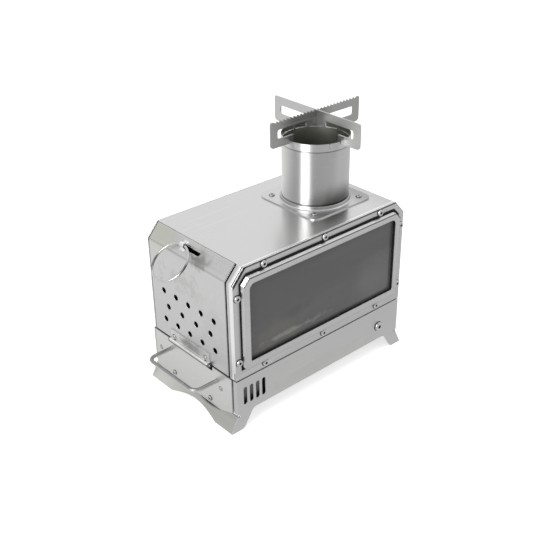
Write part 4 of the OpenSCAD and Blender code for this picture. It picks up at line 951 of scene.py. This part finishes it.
stageLook = {
    "floorHalf": 6.0, "floorDrop": 0.2 * mm, "floorColour": (0.72, 0.72, 0.72, 1.0), "floorGlow": 0.62,
    # how bright metal sees the floor, changing along the way from left to right over twice the reach
    "floorLeft": 0.84, "floorRight": 0.70, "floorWay": (0.7, -0.7, 0.0), "floorReach": 0.35,
    # how bright metal sees the dome: its mean, and its swing towards the bright side
    "skyMean": 0.64, "skySwing": 0.31, "brightSide": (0.66, 0.50, 0.56), "skyPlain": 0.85,
    # the height that the lamps look at, in metres
    "aimHeight": 0.1,
}
# places, widths and heights in metres, power in watts
lamps = {
    "keyLight": {"place": (-1.05, -0.22, 0.75), "width": 0.56, "height": 0.90, "power": 10.0},
    "edgeLight": {"place": (0.85, -0.36, 1.20), "width": 0.50, "height": 0.50, "power": 0.6},
}


# a pale floor a hair below the feet: the camera sees it lit and glowing, metal sees a brightness of its own
def makeFloor():
    half, drop = stageLook["floorHalf"], stageLook["floorDrop"]
    corners = [(x * half, y * half, -drop) for x, y in ((-1, -1), (1, -1), (1, 1), (-1, 1))]
    floor = meshPiece("studioFloor", corners, [(0, 1, 2, 3)], None, False)
    material = bpy.data.materials.new("paleFloor")
    material.use_nodes = True
    tree = material.node_tree
    tree.nodes.clear()
    diffuse = addNode(tree, "ShaderNodeBsdfDiffuse", {"Color": stageLook["floorColour"]})
    white = (1.0, 1.0, 1.0, 1.0)
    glow = addNode(tree, "ShaderNodeEmission", {"Color": white, "Strength": stageLook["floorGlow"]})
    lit = addNode(tree, "ShaderNodeAddShader")
    tree.links.new(diffuse.outputs[0], lit.inputs[0])
    tree.links.new(glow.outputs[0], lit.inputs[1])
    place = addNode(tree, "ShaderNodeTexCoord")
    across = vectorNode(tree, "DOT_PRODUCT", place.outputs["Object"], stageLook["floorWay"])
    reach = stageLook["floorReach"]
    level = rangeNode(tree, across.outputs["Value"], -reach, reach, stageLook["floorLeft"],
                      stageLook["floorRight"])
    mirrored = addNode(tree, "ShaderNodeEmission", {"Color": white}, {"Strength": level})
    path = addNode(tree, "ShaderNodeLightPath")
    seen = addNode(tree, "ShaderNodeMixShader", None, {"Fac": path.outputs["Is Camera Ray"]})
    tree.links.new(diffuse.outputs[0], seen.inputs[1])
    tree.links.new(lit.outputs[0], seen.inputs[2])
    choose = addNode(tree, "ShaderNodeMixShader", None, {"Fac": path.outputs["Is Glossy Ray"]})
    tree.links.new(seen.outputs[0], choose.inputs[1])
    tree.links.new(mirrored.outputs[0], choose.inputs[2])
    addNode(tree, "ShaderNodeOutputMaterial", None, {"Surface": choose.outputs[0]})
    floor.data.materials.append(material)


# plain white behind the object; metal sees a dome whose strength follows the direction
def makeWorld():
    world = bpy.data.worlds.new("studioDome")
    bpy.context.scene.world = world
    world.use_nodes = True
    tree = world.node_tree
    tree.nodes.clear()
    white = (1.0, 1.0, 1.0, 1.0)
    place = addNode(tree, "ShaderNodeTexCoord")
    side = vectorNode(tree, "DOT_PRODUCT", place.outputs["Generated"], stageLook["brightSide"])
    level = mathNode(tree, "ADD", mathNode(tree, "MULTIPLY", side.outputs["Value"], stageLook["skySwing"]),
                     stageLook["skyMean"])
    dome = addNode(tree, "ShaderNodeBackground", {"Color": white, "Strength": stageLook["skyPlain"]})
    mirrored = addNode(tree, "ShaderNodeBackground", {"Color": white}, {"Strength": level})
    backdrop = addNode(tree, "ShaderNodeBackground", {"Color": white, "Strength": 1.0})
    path = addNode(tree, "ShaderNodeLightPath")
    metal = addNode(tree, "ShaderNodeMixShader", None, {"Fac": path.outputs["Is Glossy Ray"]})
    tree.links.new(dome.outputs[0], metal.inputs[1])
    tree.links.new(mirrored.outputs[0], metal.inputs[2])
    choose = addNode(tree, "ShaderNodeMixShader", None, {"Fac": path.outputs["Is Camera Ray"]})
    tree.links.new(metal.outputs[0], choose.inputs[1])
    tree.links.new(backdrop.outputs[0], choose.inputs[2])
    addNode(tree, "ShaderNodeOutputWorld", None, {"Surface": choose.outputs[0]})


# two flat lamps that look at the stove's middle
def makeLamps():
    aim = Vector(((cadLow[0] + cadHigh[0]) / 2, (cadLow[1] + cadHigh[1]) / 2, stageLook["aimHeight"]))
    for name, spec in lamps.items():
        data = bpy.data.lights.new(name, "AREA")
        data.shape = "RECTANGLE"
        data.size = spec["width"]
        data.size_y = spec["height"]
        data.energy = spec["power"]
        lamp = bpy.data.objects.new(name, data)
        lamp.location = spec["place"]
        way = aim - Vector(spec["place"])
        lamp.rotation_euler = way.to_track_quat("-Z", "Y").to_euler()
        bpy.context.scene.collection.objects.link(lamp)
    print("stage lit")


placeCamera()
dressNodes()
fluePipe()
rimBand()
pullRing()
drawerHandle()
allScrews()
rivetGroup("leafRivets", "leaf_rivets", rivetSizes["leaf"], "door")
rivetGroup("trayRivets", "tray_rivets", rivetSizes["tray"], "drawer")
print("pieces made")
makeFloor()
makeWorld()
makeLamps()
bpy.context.scene.view_settings.view_transform = "Standard"
